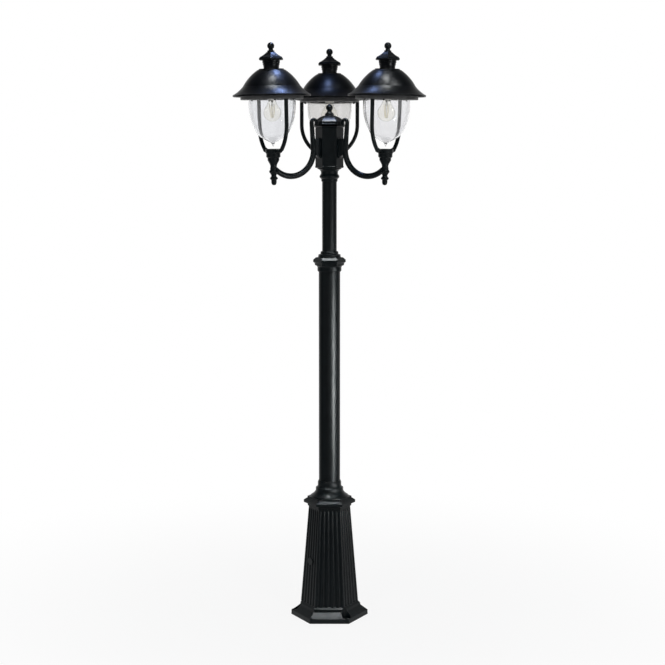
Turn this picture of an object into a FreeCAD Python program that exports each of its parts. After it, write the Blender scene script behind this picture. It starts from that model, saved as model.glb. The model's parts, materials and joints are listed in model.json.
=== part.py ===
import FreeCAD, Part
import math
import os
import re
import Sketcher

# Triple head lamp post: fluted pedestal, two-stage pole, hub, three arms with lanterns.
# Origin: pole axis at ground level. +Z up, front of the pedestal towards -Y, millimetres.

Vector = FreeCAD.Vector
UP = Vector(0, 0, 1)

# ---------------------------------------------------------------- driving dimensions
# "corner" is the distance from the axis to a corner of a six-sided moulding.
# Lantern levels are counted from the tip of its bottom finial, along its own axis.

DIMENSIONS = {
    "Poles": {
        "lower_pole_radius": 44.25,
        "upper_pole_radius": 30,
        "pole_wall": 3.5,
        "socket_gap": 0.2,
        "lower_pole_foot": 482,
        "lower_pole_head": 1480,
        "upper_pole_foot": 1490,
        "upper_pole_head": 1866,
        "cable_hole_radius": 18,
    },
    "Pedestal": {
        "foot_corner": 162,
        "foot_band_corner": 161,
        "foot_band_top": 19.5,
        "foot_slope_corner": 134,
        "foot_slope_top": 39,
        "plinth_foot_corner": 131.5,
        "plinth_corner": 128.5,
        "plinth_bottom": 41,
        "plinth_top": 51.5,
        "shaft_foot_corner": 120.9,
        "shaft_foot_level": 58,
        "shaft_head_corner": 86.6,
        "pedestal_height": 470,
        "pedestal_wall": 8,
        "deck_thickness": 12,
        "deck_hole_radius": 50,
        "fixing_circle_radius": 138,
        "fixing_hole_radius": 6,
        "fixing_pocket_radius": 19,
        "fixing_seat_level": 15,
        "fixing_pocket_top": 60,
        "flute_pitch_share": 0.19,
        "flute_radius_share": 0.066,
        "flute_lift_share": 0.022,
        "flute_nose_share": 1.6,
        "flute_foot_level": 60,
        "flute_top_level": 458.5,
        "boss_level": 241,
        "boss_half_length": 19,
        "boss_half_height": 14,
        "boss_rise": 2.5,
        "boss_root": 6,
    },
    "Pedestal cap": {
        "cap_neck_corner": 91.5,
        "cap_bead_level": 479,
        "cap_lip_corner": 108,
        "cap_lip_arc": 26,
        "cap_lip_bottom": 484.5,
        "cap_lip_top": 495.5,
        "cap_slope_corner": 95,
        "cap_slope_top": 503.5,
        "cap_step_corner": 92.5,
        "cap_step_top": 511,
        "flare_foot_radius": 79.5,
        "flare_roll": 6,
        "flare_shoulder_radius": 78,
        "flare_shoulder_level": 516,
        "flare_arc": 46,
        "flare_neck_radius": 57.5,
        "flare_neck_level": 537,
        "flare_bead_radius": 57.3,
        "flare_bead_top": 549,
        "flare_collar_radius": 49,
        "flare_collar_arc": 12,
        "flare_collar_foot": 559,
        "flare_collar_top": 572,
        "flare_top": 579,
    },
    "Pole collar": {
        "collar_foot": 1456,
        "collar_ring_radius": 49.5,
        "collar_ring_foot": 1460,
        "collar_ring_top": 1473,
        "collar_cove_arc": 12,
        "collar_cove_radius": 56,
        "collar_cove_level": 1481,
        "collar_hex_foot_corner": 60,
        "collar_hex_foot": 1482,
        "collar_waist_corner": 62.5,
        "collar_waist_level": 1492,
        "collar_lip_corner": 67.3,
        "collar_lip_bottom": 1495,
        "collar_lip_top": 1504,
        "collar_roof_corner": 56,
        "collar_hex_top": 1514,
        "collar_step_cove_radius": 48.4,
        "collar_step_arc": 14,
        "collar_step_radius": 46,
        "collar_step_foot": 1522,
        "collar_step_top": 1525,
        "collar_top_radius": 36.5,
        "collar_top_foot": 1529,
        "collar_top": 1539,
    },
    "Hub": {
        "neck_foot": 1824,
        "neck_foot_radius": 33.5,
        "neck_bead_foot": 1835,
        "neck_bead_radius": 40.5,
        "neck_bead_level": 1845,
        "neck_waist_radius": 35,
        "neck_waist_level": 1860,
        "neck_plate_arc": 17,
        "neck_plate_radius": 49,
        "neck_plate_level": 1876,
        "hub_foot": 1880,
        "hub_corner": 57.2,
        "hub_wall": 6,
        "hub_floor": 6,
        "hub_top": 2044,
        "hub_bevel": 2,
        "lid_fascia_corner": 62.3,
        "lid_fascia_foot": 2048,
        "lid_fascia_top": 2059,
        "lid_eave_corner": 60.8,
        "lid_eave_top": 2068,
        "lid_roof_arc": 72,
        "lid_crown_corner": 23,
        "lid_crown_level": 2092,
        "lid_boss_radius": 18.5,
        "lid_boss_top": 2099,
        "lid_spigot_radius": 42,
        "lid_spigot_depth": 8,
        "lid_hollow_radius": 36,
        "knob_foot_radius": 17.5,
        "knob_foot_top": 2101.5,
        "knob_foot_arc": 12,
        "knob_neck_radius": 9.5,
        "knob_neck_level": 2111,
        "knob_ball_radius": 14.3,
        "knob_ball_level": 2124.4,
        "knob_stud_radius": 4,
        "knob_stud_length": 9,
        "terminal_length": 40,
        "terminal_depth": 16,
        "terminal_height": 20,
        "terminal_offset": 22,
        "terminal_well": 3,
        "screw_radius": 4,
        "screw_gap": 0.05,
        "screw_sink": 1,
        "cap_screw_level": 565,
        "collar_screw_level": 1534,
        "neck_screw_level": 1830.5,
    },
    "Arm": {
        "curl_centre_radius": 72.7,
        "curl_level": 2063.5,
        "curl_bend": 12,
        "curl_start_angle": 215,
        "bow_centre_radius": 178,
        "bow_level": 1951,
        "bow_bend": 103,
        "bow_end_overlap": 8,
        "arm_tip_half": 5.8,
        "arm_leg_half": 7.4,
        "arm_block_half": 9.2,
        "arm_bow_half": 11.6,
        "arm_end_half": 10.6,
        "bow_swell_share": 0.6,
        "bow_taper_share": 0.25,
        "block_foot": 1924,
        "block_round": 24,
        "block_top": 1994,
        "block_reach": 72,
        "block_half_width": 11.5,
        "plate_thickness": 4,
        "plate_half_width": 15.5,
        "plate_foot": 1919,
        "plate_top": 1999,
        "arm_bolt_radius": 4,
        "arm_bolt_gap": 0.15,
        "arm_bolt_length": 24,
        "arm_bolt_head": 6.5,
        "arm_bolt_head_thickness": 5,
        "bore_overrun": 5,
        "arm_bolt_low": 1944,
        "arm_bolt_high": 1984,
    },
    "Lantern place": {
        "lantern_radius": 256.4,
        "lantern_level": 1812.5,
        "lantern_lean": 1.26,
    },
    "Acorn nut and knuckle": {
        "acorn_tip_arc": 14,
        "acorn_tip_radius": 7.6,
        "acorn_tip_level": 2.6,
        "acorn_arc": 20,
        "acorn_radius": 10.9,
        "acorn_level": 15,
        "acorn_neck_level": 21,
        "acorn_collar_radius": 15.9,
        "acorn_collar_foot": 25.5,
        "acorn_collar_top": 30,
        "acorn_top_arc": 14,
        "acorn_top_radius": 10,
        "acorn_top": 38,
        "acorn_stud_radius": 4,
        "acorn_stud_top": 80,
        "acorn_stud_gap": 0.1,
        "knuckle_ring_arc": 30,
        "knuckle_ring_radius": 18.2,
        "knuckle_ring_foot": 52,
        "knuckle_ring_top": 57.5,
        "knuckle_waist_radius": 14,
        "knuckle_waist_level": 63,
        "knuckle_bead_radius": 14.6,
        "knuckle_bead_level": 68,
        "knuckle_top_radius": 12.9,
        "knuckle_top": 73.5,
    },
    "Yoke": {
        "cup_cove_arc": 26,
        "cup_waist_radius": 18.2,
        "cup_waist_level": 90,
        "cup_first_foot_radius": 21.8,
        "cup_first_foot": 97,
        "cup_first_radius": 23.5,
        "cup_first_bottom": 100,
        "cup_first_top": 109,
        "cup_second_radius": 28.5,
        "cup_second_bottom": 113.5,
        "cup_second_top": 126,
        "cup_rim_radius": 31,
        "cup_rim_bottom": 129.5,
        "cup_top": 145.5,
        "rod_radius": 8,
        "rod_centre_radius": 118,
        "rod_bend": 137,
        "rod_bend_level": 245.5,
        "rod_bend_angle": 50,
        "crossbar_level": 138,
        "elbow_radius": 10,
        "elbow_offset": 67,
        "elbow_level": 141,
    },
    "Gallery and glass": {
        "gallery_foot": 340.5,
        "gallery_radius": 126,
        "gallery_bore": 97.5,
        "gallery_seat_radius": 106,
        "gallery_seat_level": 349,
        "gallery_top": 359.5,
        "upstand_inner_radius": 121.5,
        "upstand_outer_radius": 125,
        "upstand_top": 381.5,
        "upstand_bevel": 3.4,
        "gasket_inner_radius": 98,
        "gasket_outer_radius": 105,
        "gasket_thickness": 2,
        "glass_radius": 94,
        "glass_wall": 3,
        "glass_flange_radius": 104,
        "glass_flange_thickness": 5,
        "glass_belly_level": 317.5,
        "glass_belly_arc": 212.8,
        "glass_belly_angle": 30.5,
        "glass_base_arc": 60,
        "glass_base_angle": 61.5,
        "glass_nipple_radius": 12,
        "glass_nipple_arc": 14,
        "glass_drop_radius": 3.4,
        "glass_drop_level": 159.5,
        "glass_tip_level": 155,
        "clip_angle": 22,
        "clip_half_width": 6,
        "clip_thickness": 2,
        "clip_inner_radius": 98.5,
        "clip_outer_radius": 117,
        "clip_screw_circle": 111.5,
        "clip_screw_radius": 2.5,
        "clip_head_corner": 5,
        "clip_head_thickness": 4,
    },
    "Hood": {
        "hood_lip_roll": 3,
        "hood_lip_radius": 156.5,
        "hood_lip_foot": 352.5,
        "hood_lip_top": 360.5,
        "hood_rim_radius": 152.5,
        "hood_rim_level": 361.5,
        "hood_rim_slope": 30,
        "hood_wall": 2.5,
        "hood_flare_radius": 114.4,
        "hood_flare_level": 393.8,
        "hood_flare_slope": 53,
        "hood_flare_arc": 137,
        "hood_crown_radius": 56,
        "hood_crown_level": 457,
        "hood_dome_arc": 188,
        "hood_ledge_radius": 50,
        "hood_ledge_foot": 458.5,
        "hood_ledge_top": 461.5,
        "drum_foot_radius": 30.6,
        "drum_waist_radius": 31.4,
        "drum_waist_level": 473,
        "drum_top_radius": 36,
        "drum_top": 495.5,
        "drum_inner_radius": 27,
        "drum_step": 1.2,
        "drum_step_rise": 1.5,
        "cowl_eave_face": 47,
        "cowl_eave_top": 501.5,
        "cowl_roof_foot_face": 43,
        "cowl_roof_foot": 507.5,
        "cowl_roof_arc": 88,
        "cowl_crown_face": 16.3,
        "cowl_crown": 527,
        "cowl_boss_radius": 14.4,
        "cowl_boss_top": 533,
        "cowl_hollow_radius": 30,
        "cowl_hollow_top": 516,
        "ball_foot_radius": 9.8,
        "ball_foot_top": 535.5,
        "ball_neck_radius": 8.5,
        "ball_neck_level": 538.7,
        "ball_radius": 14.2,
        "ball_level": 551.3,
        "rod_thread_radius": 4,
        "rod_thread_gap": 0.1,
        "rod_thread_top": 546,
    },
    "Lamp": {
        "holder_foot": 341,
        "holder_skirt_radius": 19.5,
        "holder_skirt_top": 372,
        "holder_body_radius": 15.5,
        "holder_top": 386,
        "holder_bore": 13.9,
        "holder_bore_top": 368.3,
        "bulb_cap_radius": 13.2,
        "bulb_cap_foot": 343,
        "bulb_cap_top": 362,
        "bulb_contact_radius": 4.8,
        "bulb_contact_foot": 366,
        "bulb_contact_top": 368,
        "bulb_radius": 30,
        "bulb_centre": 293,
        "bulb_neck_radius": 13,
        "bulb_neck_arc": 60,
        "bulb_flare_radius": 22,
        "bulb_flare_level": 313.5,
        "bulb_glass": 1,
        "stem_radius": 3.5,
        "stem_foot": 324,
        "spider_radius": 7.5,
        "spider_thickness": 1.6,
        "filament_radius": 6.2,
        "filament_half_width": 0.8,
        "filament_foot": 284,
        "filament_top": 325.6,
    },
}

doc = FreeCAD.newDocument("LampPost")
sheet = doc.addObject("Spreadsheet::Sheet", "Sizes")


def fill_sheet():
    """Writes one row for each named size, under a heading for each group."""
    row = 1
    for group, sizes in DIMENSIONS.items():
        sheet.set(f"A{row}", group)
        row += 1
        for name, value in sizes.items():
            sheet.set(f"A{row}", name)
            sheet.set(f"B{row}", str(value))
            sheet.setAlias(f"B{row}", name)
            row += 1
    doc.recompute()


fill_sheet()


def size(words):
    """The value of an expression over the sheet's names."""
    return float(sheet.evalExpression(words))


def bound(words):
    """The same expression, spelled so that any object can be bound to it."""
    return re.sub(r"\b([a-z]\w*_\w+)\b", r"Sizes.\1", words)


# ---------------------------------------------------------------- sketches and solids


def origin_feature(body, role):
    """The body's own origin plane or axis of that role."""
    return next(f for f in body.Origin.OriginFeatures if f.Role == role)


def new_body(label):
    body = doc.addObject("PartDesign::Body", label)
    body.Label = label
    return body


def raised(level):
    """A place straight up from the origin."""
    return FreeCAD.Placement(UP * level, FreeCAD.Rotation())


def new_sketch(body, name, role, offset=None):
    """A sketch on one of the body's origin planes, shifted or turned by offset."""
    sketch = body.newObject("Sketcher::SketchObject", name)
    sketch.AttachmentSupport = [(origin_feature(body, role), "")]
    sketch.MapMode = "FlatFace"
    if offset is not None:
        sketch.AttachmentOffset = offset
    return sketch


def arc_between(start, end, radius, turns_left):
    """Minor arc from start to end.

    A sketch's arcs always run counter-clockwise, so a right turn is stored reversed.
    """
    chord = end - start
    half = chord.Length / 2
    side = Vector(-chord.y, chord.x, 0).normalize()
    if not turns_left:
        side = side * -1
    centre = (start + end) / 2 + side * math.sqrt(max(radius**2 - half**2, 0))
    first, last = (start, end) if turns_left else (end, start)
    begin = math.atan2(first.y - centre.y, first.x - centre.x)
    finish = math.atan2(last.y - centre.y, last.x - centre.x)
    return Part.ArcOfCircle(Part.Circle(centre, UP, radius), begin, finish)


def bind_point(sketch, geometry, end, across, level):
    """Holds one end of a segment at (across, level), both bound to the sheet."""
    for kind, words, axis in (("DistanceX", across, -2), ("DistanceY", level, -1)):
        if words == "0":
            sketch.addConstraint(Sketcher.Constraint("PointOnObject", geometry, end, axis))
            continue
        index = sketch.addConstraint(
            Sketcher.Constraint(kind, -1, 1, geometry, end, size(words))
        )
        sketch.setExpression(f"Constraints[{index}]", bound(words))


def draw_outline(sketch, outline):
    """Closed outline of (across, level) or (across, level, bend) points.

    bend is the radius of the arc that arrives at the point, led by + for a left turn
    on the way there and by - for a right turn.
    """
    places = [Vector(size(p[0]), size(p[1]), 0) for p in outline]
    ends = []
    for i, point in enumerate(outline):
        start, end = places[i - 1], places[i]
        if len(point) == 3:
            left = point[2][0] == "+"
            radius = point[2][1:]
            index = sketch.addGeometry(arc_between(start, end, size(radius), left))
            bend = sketch.addConstraint(
                Sketcher.Constraint("Radius", index, size(radius))
            )
            sketch.setExpression(f"Constraints[{bend}]", bound(radius))
            ends.append((index, 1, 2) if left else (index, 2, 1))
        else:
            index = sketch.addGeometry(Part.LineSegment(start, end))
            ends.append((index, 1, 2))
    for i, (index, _, last) in enumerate(ends):
        after, first, _ = ends[(i + 1) % len(ends)]
        sketch.addConstraint(Sketcher.Constraint("Coincident", index, last, after, first))
        bind_point(sketch, index, last, outline[i][0], outline[i][1])


def turned(label, outline):
    """A turned piece: a half section on the XZ plane, revolved about Z."""
    body = new_body(label)
    sketch = new_sketch(body, label + "_section", "XZ_Plane")
    draw_outline(sketch, outline)
    turn = body.newObject("PartDesign::Revolution", label + "_turned")
    turn.Profile = sketch
    turn.ReferenceAxis = (sketch, ["V_Axis"])
    turn.Angle = 360
    body.Tip = turn
    return body


def groove(body, name, outline, offset=None):
    """Turns the outline out of the body, about the sketch's own upright axis."""
    sketch = new_sketch(body, name + "_section", "XZ_Plane", offset)
    draw_outline(sketch, outline)
    cut = body.newObject("PartDesign::Groove", name)
    cut.Profile = sketch
    cut.ReferenceAxis = (sketch, ["V_Axis"])
    cut.Angle = 360
    body.Tip = cut
    return cut


def around(body, name, features, count):
    """Repeats features evenly about the body's Z axis."""
    pattern = body.newObject("PartDesign::PolarPattern", name)
    pattern.Originals = features
    pattern.Axis = (origin_feature(body, "Z_Axis"), [""])
    pattern.Angle = 360
    pattern.Occurrences = count
    body.Tip = pattern
    return pattern


def plane_sides(body, name, outline, reach):
    """Planes one moulding off all six sides, so that its corners mitre.

    outline climbs the moulding in corner distances. What lies outside it, as far as
    reach, is cut away along the +Y side and then round the axis.
    """
    side = [(f"({p[0]}) * cos(30)",) + tuple(p[1:]) for p in outline]
    bottom, top = outline[0][1], outline[-1][1]
    sketch = new_sketch(body, name + "_moulding", "YZ_Plane")
    draw_outline(sketch, side + [(reach, top), (reach, bottom)])
    cut = body.newObject("PartDesign::Pocket", name)
    cut.Profile = sketch
    cut.SideType = "Symmetric"
    cut.Length = 4 * size(reach)
    around(body, name + "_sides", [cut], 6)


def radial_holes(body, name, level, radius, count):
    """Round holes that point at the axis, the first towards +Y."""
    sketch = new_sketch(body, name + "_circle", "XZ_Plane")
    circle_sketch(sketch, "0", level, radius)
    cut = body.newObject("PartDesign::Pocket", name)
    cut.Profile = sketch
    cut.Type = "ThroughAll"
    around(body, name + "_all", [cut], count)


def circle_sketch(sketch, across, level, radius):
    """One circle in a sketch, with its place and radius bound."""
    centre = Vector(size(across), size(level), 0)
    index = sketch.addGeometry(Part.Circle(centre, UP, size(radius)))
    bind_point(sketch, index, 3, across, level)
    bend = sketch.addConstraint(Sketcher.Constraint("Radius", index, size(radius)))
    sketch.setExpression(f"Constraints[{bend}]", bound(radius))


def hexagon_sketch(body, name, level, corner):
    """A level regular hexagon with corners on +X and -X."""
    sketch = new_sketch(body, name, "XY_Plane", raised(size(level)))
    radius = size(corner)
    corners = [
        Vector(radius * math.cos(math.radians(60 * i)), radius * math.sin(math.radians(60 * i)), 0)
        for i in range(6)
    ]
    sides = [
        sketch.addGeometry(Part.LineSegment(corners[i], corners[(i + 1) % 6])) for i in range(6)
    ]
    circle = sketch.addGeometry(Part.Circle(Vector(), UP, radius), True)
    sketch.addConstraint(Sketcher.Constraint("Coincident", circle, 3, -1, 1))
    bend = sketch.addConstraint(Sketcher.Constraint("Radius", circle, radius))
    sketch.setExpression(f"Constraints[{bend}]", bound(corner))
    for i in range(6):
        after = sides[(i + 1) % 6]
        sketch.addConstraint(Sketcher.Constraint("Coincident", sides[i], 2, after, 1))
        sketch.addConstraint(Sketcher.Constraint("PointOnObject", sides[i], 1, circle))
        if i:
            sketch.addConstraint(Sketcher.Constraint("Equal", sides[0], sides[i]))
    sketch.addConstraint(Sketcher.Constraint("PointOnObject", sides[0], 1, -1))
    return sketch


def hexagonal_hollow(body, name, levels_and_corners):
    """Cuts a straight-sided hollow between two level hexagons."""
    sketches = [
        hexagon_sketch(body, f"{name}_{i}", level, corner)
        for i, (level, corner) in enumerate(levels_and_corners)
    ]
    cut = body.newObject("PartDesign::SubtractiveLoft", name)
    cut.Profile = sketches[0]
    cut.Sections = sketches[1:]
    cut.Ruled = True
    body.Tip = cut
    return cut


# ---------------------------------------------------------------- pedestal

SIXTY = math.radians(60)


def shaft_corner(level):
    """Corner distance of the tapering shaft at a level."""
    share = (level - size("shaft_foot_level")) / size("pedestal_height - shaft_foot_level")
    return size("shaft_foot_corner") + share * size("shaft_head_corner - shaft_foot_corner")


def flute(body, name, position):
    """One tapering flute on the +Y side: a round cutter that follows the face, with a nosed top.

    position counts pitches from the middle of the face. The cutter's axis stands a
    little outside the face, so the flute is shallower than a half round.
    """
    ends = []
    for level in (size("flute_foot_level"), size("flute_top_level")):
        corner = shaft_corner(level)
        across = position * size("flute_pitch_share") * corner
        out = corner * math.cos(SIXTY / 2) + size("flute_lift_share") * corner
        ends.append((Vector(across, out, level), corner))
    (foot, foot_corner), (head, head_corner) = ends
    turn = FreeCAD.Rotation(Vector(0, 1, 0), head - foot)
    length = (head - foot).Length
    sketch = new_sketch(body, name + "_section", "XY_Plane", FreeCAD.Placement(foot, turn))
    radius = f"flute_radius_share * {head_corner:.4f}"
    draw_outline(
        sketch,
        [
            ("0", "0"),
            (f"flute_radius_share * {foot_corner:.4f}", "0"),
            (radius, f"{length:.4f}"),
            ("0", f"{length:.4f} + flute_nose_share * {radius}"),
        ],
    )
    cut = body.newObject("PartDesign::Groove", name)
    cut.Profile = sketch
    cut.ReferenceAxis = (sketch, ["V_Axis"])
    cut.Angle = 360
    body.Tip = cut
    return cut


def pedestal():
    """Six-sided fluted casting with a moulded foot. Alternate corners have a fixing pocket."""
    body = turned(
        "base_shell",
        [
            ("0", "0"),
            ("foot_corner + 1", "0"),
            ("foot_corner + 1", "foot_slope_top"),
            ("plinth_foot_corner + 1", "plinth_bottom"),
            ("plinth_foot_corner + 1", "plinth_top"),
            ("shaft_foot_corner + 1", "shaft_foot_level + 4"),
            ("shaft_head_corner + 1", "pedestal_height"),
            ("0", "pedestal_height"),
        ],
    )
    plane_sides(
        body,
        "foot_and_shaft",
        [
            ("foot_corner", "0"),
            ("foot_band_corner", "foot_band_top"),
            ("foot_slope_corner", "foot_slope_top"),
            ("plinth_foot_corner", "plinth_bottom"),
            ("plinth_corner", "plinth_top"),
            ("shaft_foot_corner", "shaft_foot_level"),
            ("shaft_head_corner", "pedestal_height"),
        ],
        "foot_corner + 20",
    )
    flutes = [flute(body, f"flute_{i + 3}", i) for i in (-2, -1, 0, 1, 2)]
    around(body, "flutes_all_round", flutes, 6)
    boss(body)
    wall = "pedestal_wall / cos(30)"
    hexagonal_hollow(
        body,
        "pedestal_hollow",
        [
            ("0", f"shaft_foot_corner + 5 - {wall}"),
            ("pedestal_height - deck_thickness", f"shaft_head_corner - {wall}"),
        ],
    )
    groove(
        body,
        "deck_hole",
        [
            ("0", "pedestal_height - deck_thickness - 5"),
            ("deck_hole_radius", "pedestal_height - deck_thickness - 5"),
            ("deck_hole_radius", "pedestal_height + 5"),
            ("0", "pedestal_height + 5"),
        ],
    )
    fixing_pockets(body)
    return body


def boss(body):
    """Plain oval boss on the front left side."""
    azimuth = math.radians(210)
    slope = math.atan2(
        (size("shaft_foot_corner") - size("shaft_head_corner")) * math.cos(SIXTY / 2),
        size("pedestal_height") - size("shaft_foot_level"),
    )
    level = size("boss_level")
    out = shaft_corner(level) * math.cos(SIXTY / 2)
    middle = Vector(out * math.cos(azimuth), out * math.sin(azimuth), level)
    normal = Vector(
        math.cos(azimuth) * math.cos(slope), math.sin(azimuth) * math.cos(slope), math.sin(slope)
    )
    along = UP.cross(normal).normalize()
    frame = FreeCAD.Rotation(along, normal.cross(along), normal, "XYZ")
    root = FreeCAD.Placement(middle - normal * size("boss_root"), frame)
    sketch = new_sketch(body, "boss_outline", "XY_Plane", root)
    straight = size("boss_half_length - boss_half_height")
    half = size("boss_half_height")
    east, west = (Part.Circle(Vector(x, 0, 0), UP, half) for x in (straight, -straight))
    quarter = math.pi / 2
    right = sketch.addGeometry(Part.ArcOfCircle(east, -quarter, quarter))
    left = sketch.addGeometry(Part.ArcOfCircle(west, quarter, 3 * quarter))
    corners = [Vector(x, y, 0) for x, y in ((straight, half), (-straight, half))]
    top = sketch.addGeometry(Part.LineSegment(*corners))
    bottom = sketch.addGeometry(Part.LineSegment(corners[0] * -1, corners[1] * -1))
    for first, first_end, second, second_end in (
        (right, 2, top, 1),
        (top, 2, left, 1),
        (left, 2, bottom, 1),
        (bottom, 2, right, 1),
    ):
        sketch.addConstraint(Sketcher.Constraint("Tangent", first, first_end, second, second_end))
    bind_point(sketch, right, 3, "boss_half_length - boss_half_height", "0")
    bend = sketch.addConstraint(Sketcher.Constraint("Radius", right, half))
    sketch.setExpression(f"Constraints[{bend}]", bound("boss_half_height"))
    bind_point(sketch, left, 3, "boss_half_height - boss_half_length", "0")
    pad = body.newObject("PartDesign::Pad", "boss")
    pad.Profile = sketch
    pad.setExpression("Length", bound("boss_root + boss_rise"))
    body.Tip = pad


def fixing_pockets(body):
    """A round-walled pocket and a bolt hole on three alternate corners of the foot."""
    cuts = []
    for name, radius, foot in (
        ("fixing_pocket", "fixing_pocket_radius", "fixing_seat_level"),
        ("fixing_hole", "fixing_hole_radius", "0"),
    ):
        sketch = new_sketch(body, name + "_circle", "XY_Plane", raised(size(foot)))
        circle_sketch(sketch, "0 - fixing_circle_radius", "0", radius)
        cut = body.newObject("PartDesign::Pocket", name)
        cut.Profile = sketch
        cut.Reversed = True
        cut.Length = size("fixing_pocket_top") - size(foot)
        cuts.append(cut)
    around(body, "fixings", cuts, 3)


def pedestal_cap():
    """Six-sided lipped plate under a round flare that sockets the lower pole."""
    bore = "lower_pole_radius + socket_gap"
    body = turned(
        "base_cap",
        [
            ("cable_hole_radius", "pedestal_height"),
            ("cap_lip_corner + 1", "pedestal_height"),
            ("cap_lip_corner + 1", "cap_step_top"),
            ("flare_foot_radius", "cap_step_top"),
            ("flare_shoulder_radius", "flare_shoulder_level", "+flare_roll"),
            ("flare_neck_radius", "flare_neck_level", "-flare_arc"),
            ("flare_bead_radius", "flare_bead_top"),
            ("flare_collar_radius", "flare_collar_foot", "-flare_collar_arc"),
            ("flare_collar_radius", "flare_collar_top"),
            ("lower_pole_radius + 2", "flare_top"),
            (bore, "flare_top"),
            (bore, "lower_pole_foot"),
            ("cable_hole_radius", "lower_pole_foot"),
        ],
    )
    plane_sides(
        body,
        "cap_moulding",
        [
            ("cap_neck_corner", "pedestal_height"),
            ("cap_neck_corner", "cap_bead_level"),
            ("cap_lip_corner", "cap_lip_bottom", "-cap_lip_arc"),
            ("cap_lip_corner", "cap_lip_top"),
            ("cap_slope_corner", "cap_slope_top"),
            ("cap_step_corner", "cap_slope_top + 1"),
            ("cap_step_corner", "cap_step_top"),
        ],
        "cap_lip_corner + 20",
    )
    radial_holes(body, "cap_screw_hole", "cap_screw_level", "screw_radius", 3)
    return body


def tube(label, radius, foot, head):
    """A plain round tube."""
    inner = f"{radius} - pole_wall"
    return turned(label, [(inner, foot), (radius, foot), (radius, head), (inner, head)])


def pole_collar():
    """Round rings above and below a six-sided lip. It caps the lower pole and sockets the upper."""
    outer_bore = "lower_pole_radius + socket_gap"
    inner_bore = "upper_pole_radius + socket_gap"
    body = turned(
        "pole_collar",
        [
            (outer_bore, "collar_foot"),
            ("collar_ring_radius - 2", "collar_foot"),
            ("collar_ring_radius", "collar_ring_foot"),
            ("collar_ring_radius", "collar_ring_top"),
            ("collar_cove_radius", "collar_cove_level", "-collar_cove_arc"),
            ("collar_lip_corner + 1", "collar_hex_foot"),
            ("collar_lip_corner + 1", "collar_hex_top"),
            ("collar_step_cove_radius", "collar_hex_top"),
            ("collar_step_radius", "collar_step_foot", "-collar_step_arc"),
            ("collar_step_radius", "collar_step_top"),
            ("collar_top_radius", "collar_top_foot"),
            ("collar_top_radius", "collar_top - 2"),
            ("collar_top_radius - 3", "collar_top"),
            (inner_bore, "collar_top"),
            (inner_bore, "upper_pole_foot"),
            ("cable_hole_radius", "upper_pole_foot"),
            ("cable_hole_radius", "lower_pole_head"),
            (outer_bore, "lower_pole_head"),
        ],
    )
    plane_sides(
        body,
        "collar_moulding",
        [
            ("collar_hex_foot_corner", "collar_hex_foot - 1"),
            ("collar_hex_foot_corner", "collar_hex_foot + 4"),
            ("collar_waist_corner", "collar_waist_level"),
            ("collar_lip_corner", "collar_lip_bottom"),
            ("collar_lip_corner", "collar_lip_top"),
            ("collar_roof_corner", "collar_hex_top"),
        ],
        "collar_lip_corner + 20",
    )
    radial_holes(body, "collar_screw_hole", "collar_screw_level", "screw_radius", 3)
    return body


# ---------------------------------------------------------------- hub


def hub_neck():
    """Turned neck: bead, waist and plate, with a socket for the upper pole."""
    bore = "upper_pole_radius + socket_gap"
    body = turned(
        "hub_neck",
        [
            (bore, "neck_foot"),
            ("neck_foot_radius - 2", "neck_foot"),
            ("neck_foot_radius", "neck_foot + 4"),
            ("neck_foot_radius", "neck_bead_foot"),
            ("neck_bead_radius", "neck_bead_level - 3"),
            ("neck_bead_radius", "neck_bead_level + 3"),
            ("neck_waist_radius", "neck_waist_level - 4"),
            ("neck_waist_radius", "neck_waist_level + 4"),
            ("neck_plate_radius", "neck_plate_level", "-neck_plate_arc"),
            ("neck_plate_radius", "hub_foot"),
            ("cable_hole_radius", "hub_foot"),
            ("cable_hole_radius", "upper_pole_head"),
            (bore, "upper_pole_head"),
        ],
    )
    radial_holes(body, "neck_screw_hole", "neck_screw_level", "screw_radius", 3)
    return body


def hub_body():
    """Six-sided hollow hub. The arms bolt to alternate sides of it."""
    body = turned(
        "hub_body",
        [
            ("cable_hole_radius", "hub_foot"),
            ("hub_corner + 1", "hub_foot"),
            ("hub_corner + 1", "hub_top"),
            ("cable_hole_radius", "hub_top"),
        ],
    )
    plane_sides(
        body,
        "hub_sides",
        [
            ("hub_corner - hub_bevel", "hub_foot"),
            ("hub_corner", "hub_foot + hub_bevel"),
            ("hub_corner", "hub_top - hub_bevel"),
            ("hub_corner - hub_bevel", "hub_top"),
        ],
        "hub_corner + 20",
    )
    inside = "hub_corner - hub_wall / cos(30)"
    hexagonal_hollow(
        body, "hub_hollow", [("hub_foot + hub_floor", inside), ("hub_top + 1", inside)]
    )
    hole = "arm_bolt_radius + arm_bolt_gap"
    for word in ("low", "high"):
        radial_holes(body, f"{word}_bolt_hole", f"arm_bolt_{word}", hole, 3)
    return body


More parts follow.
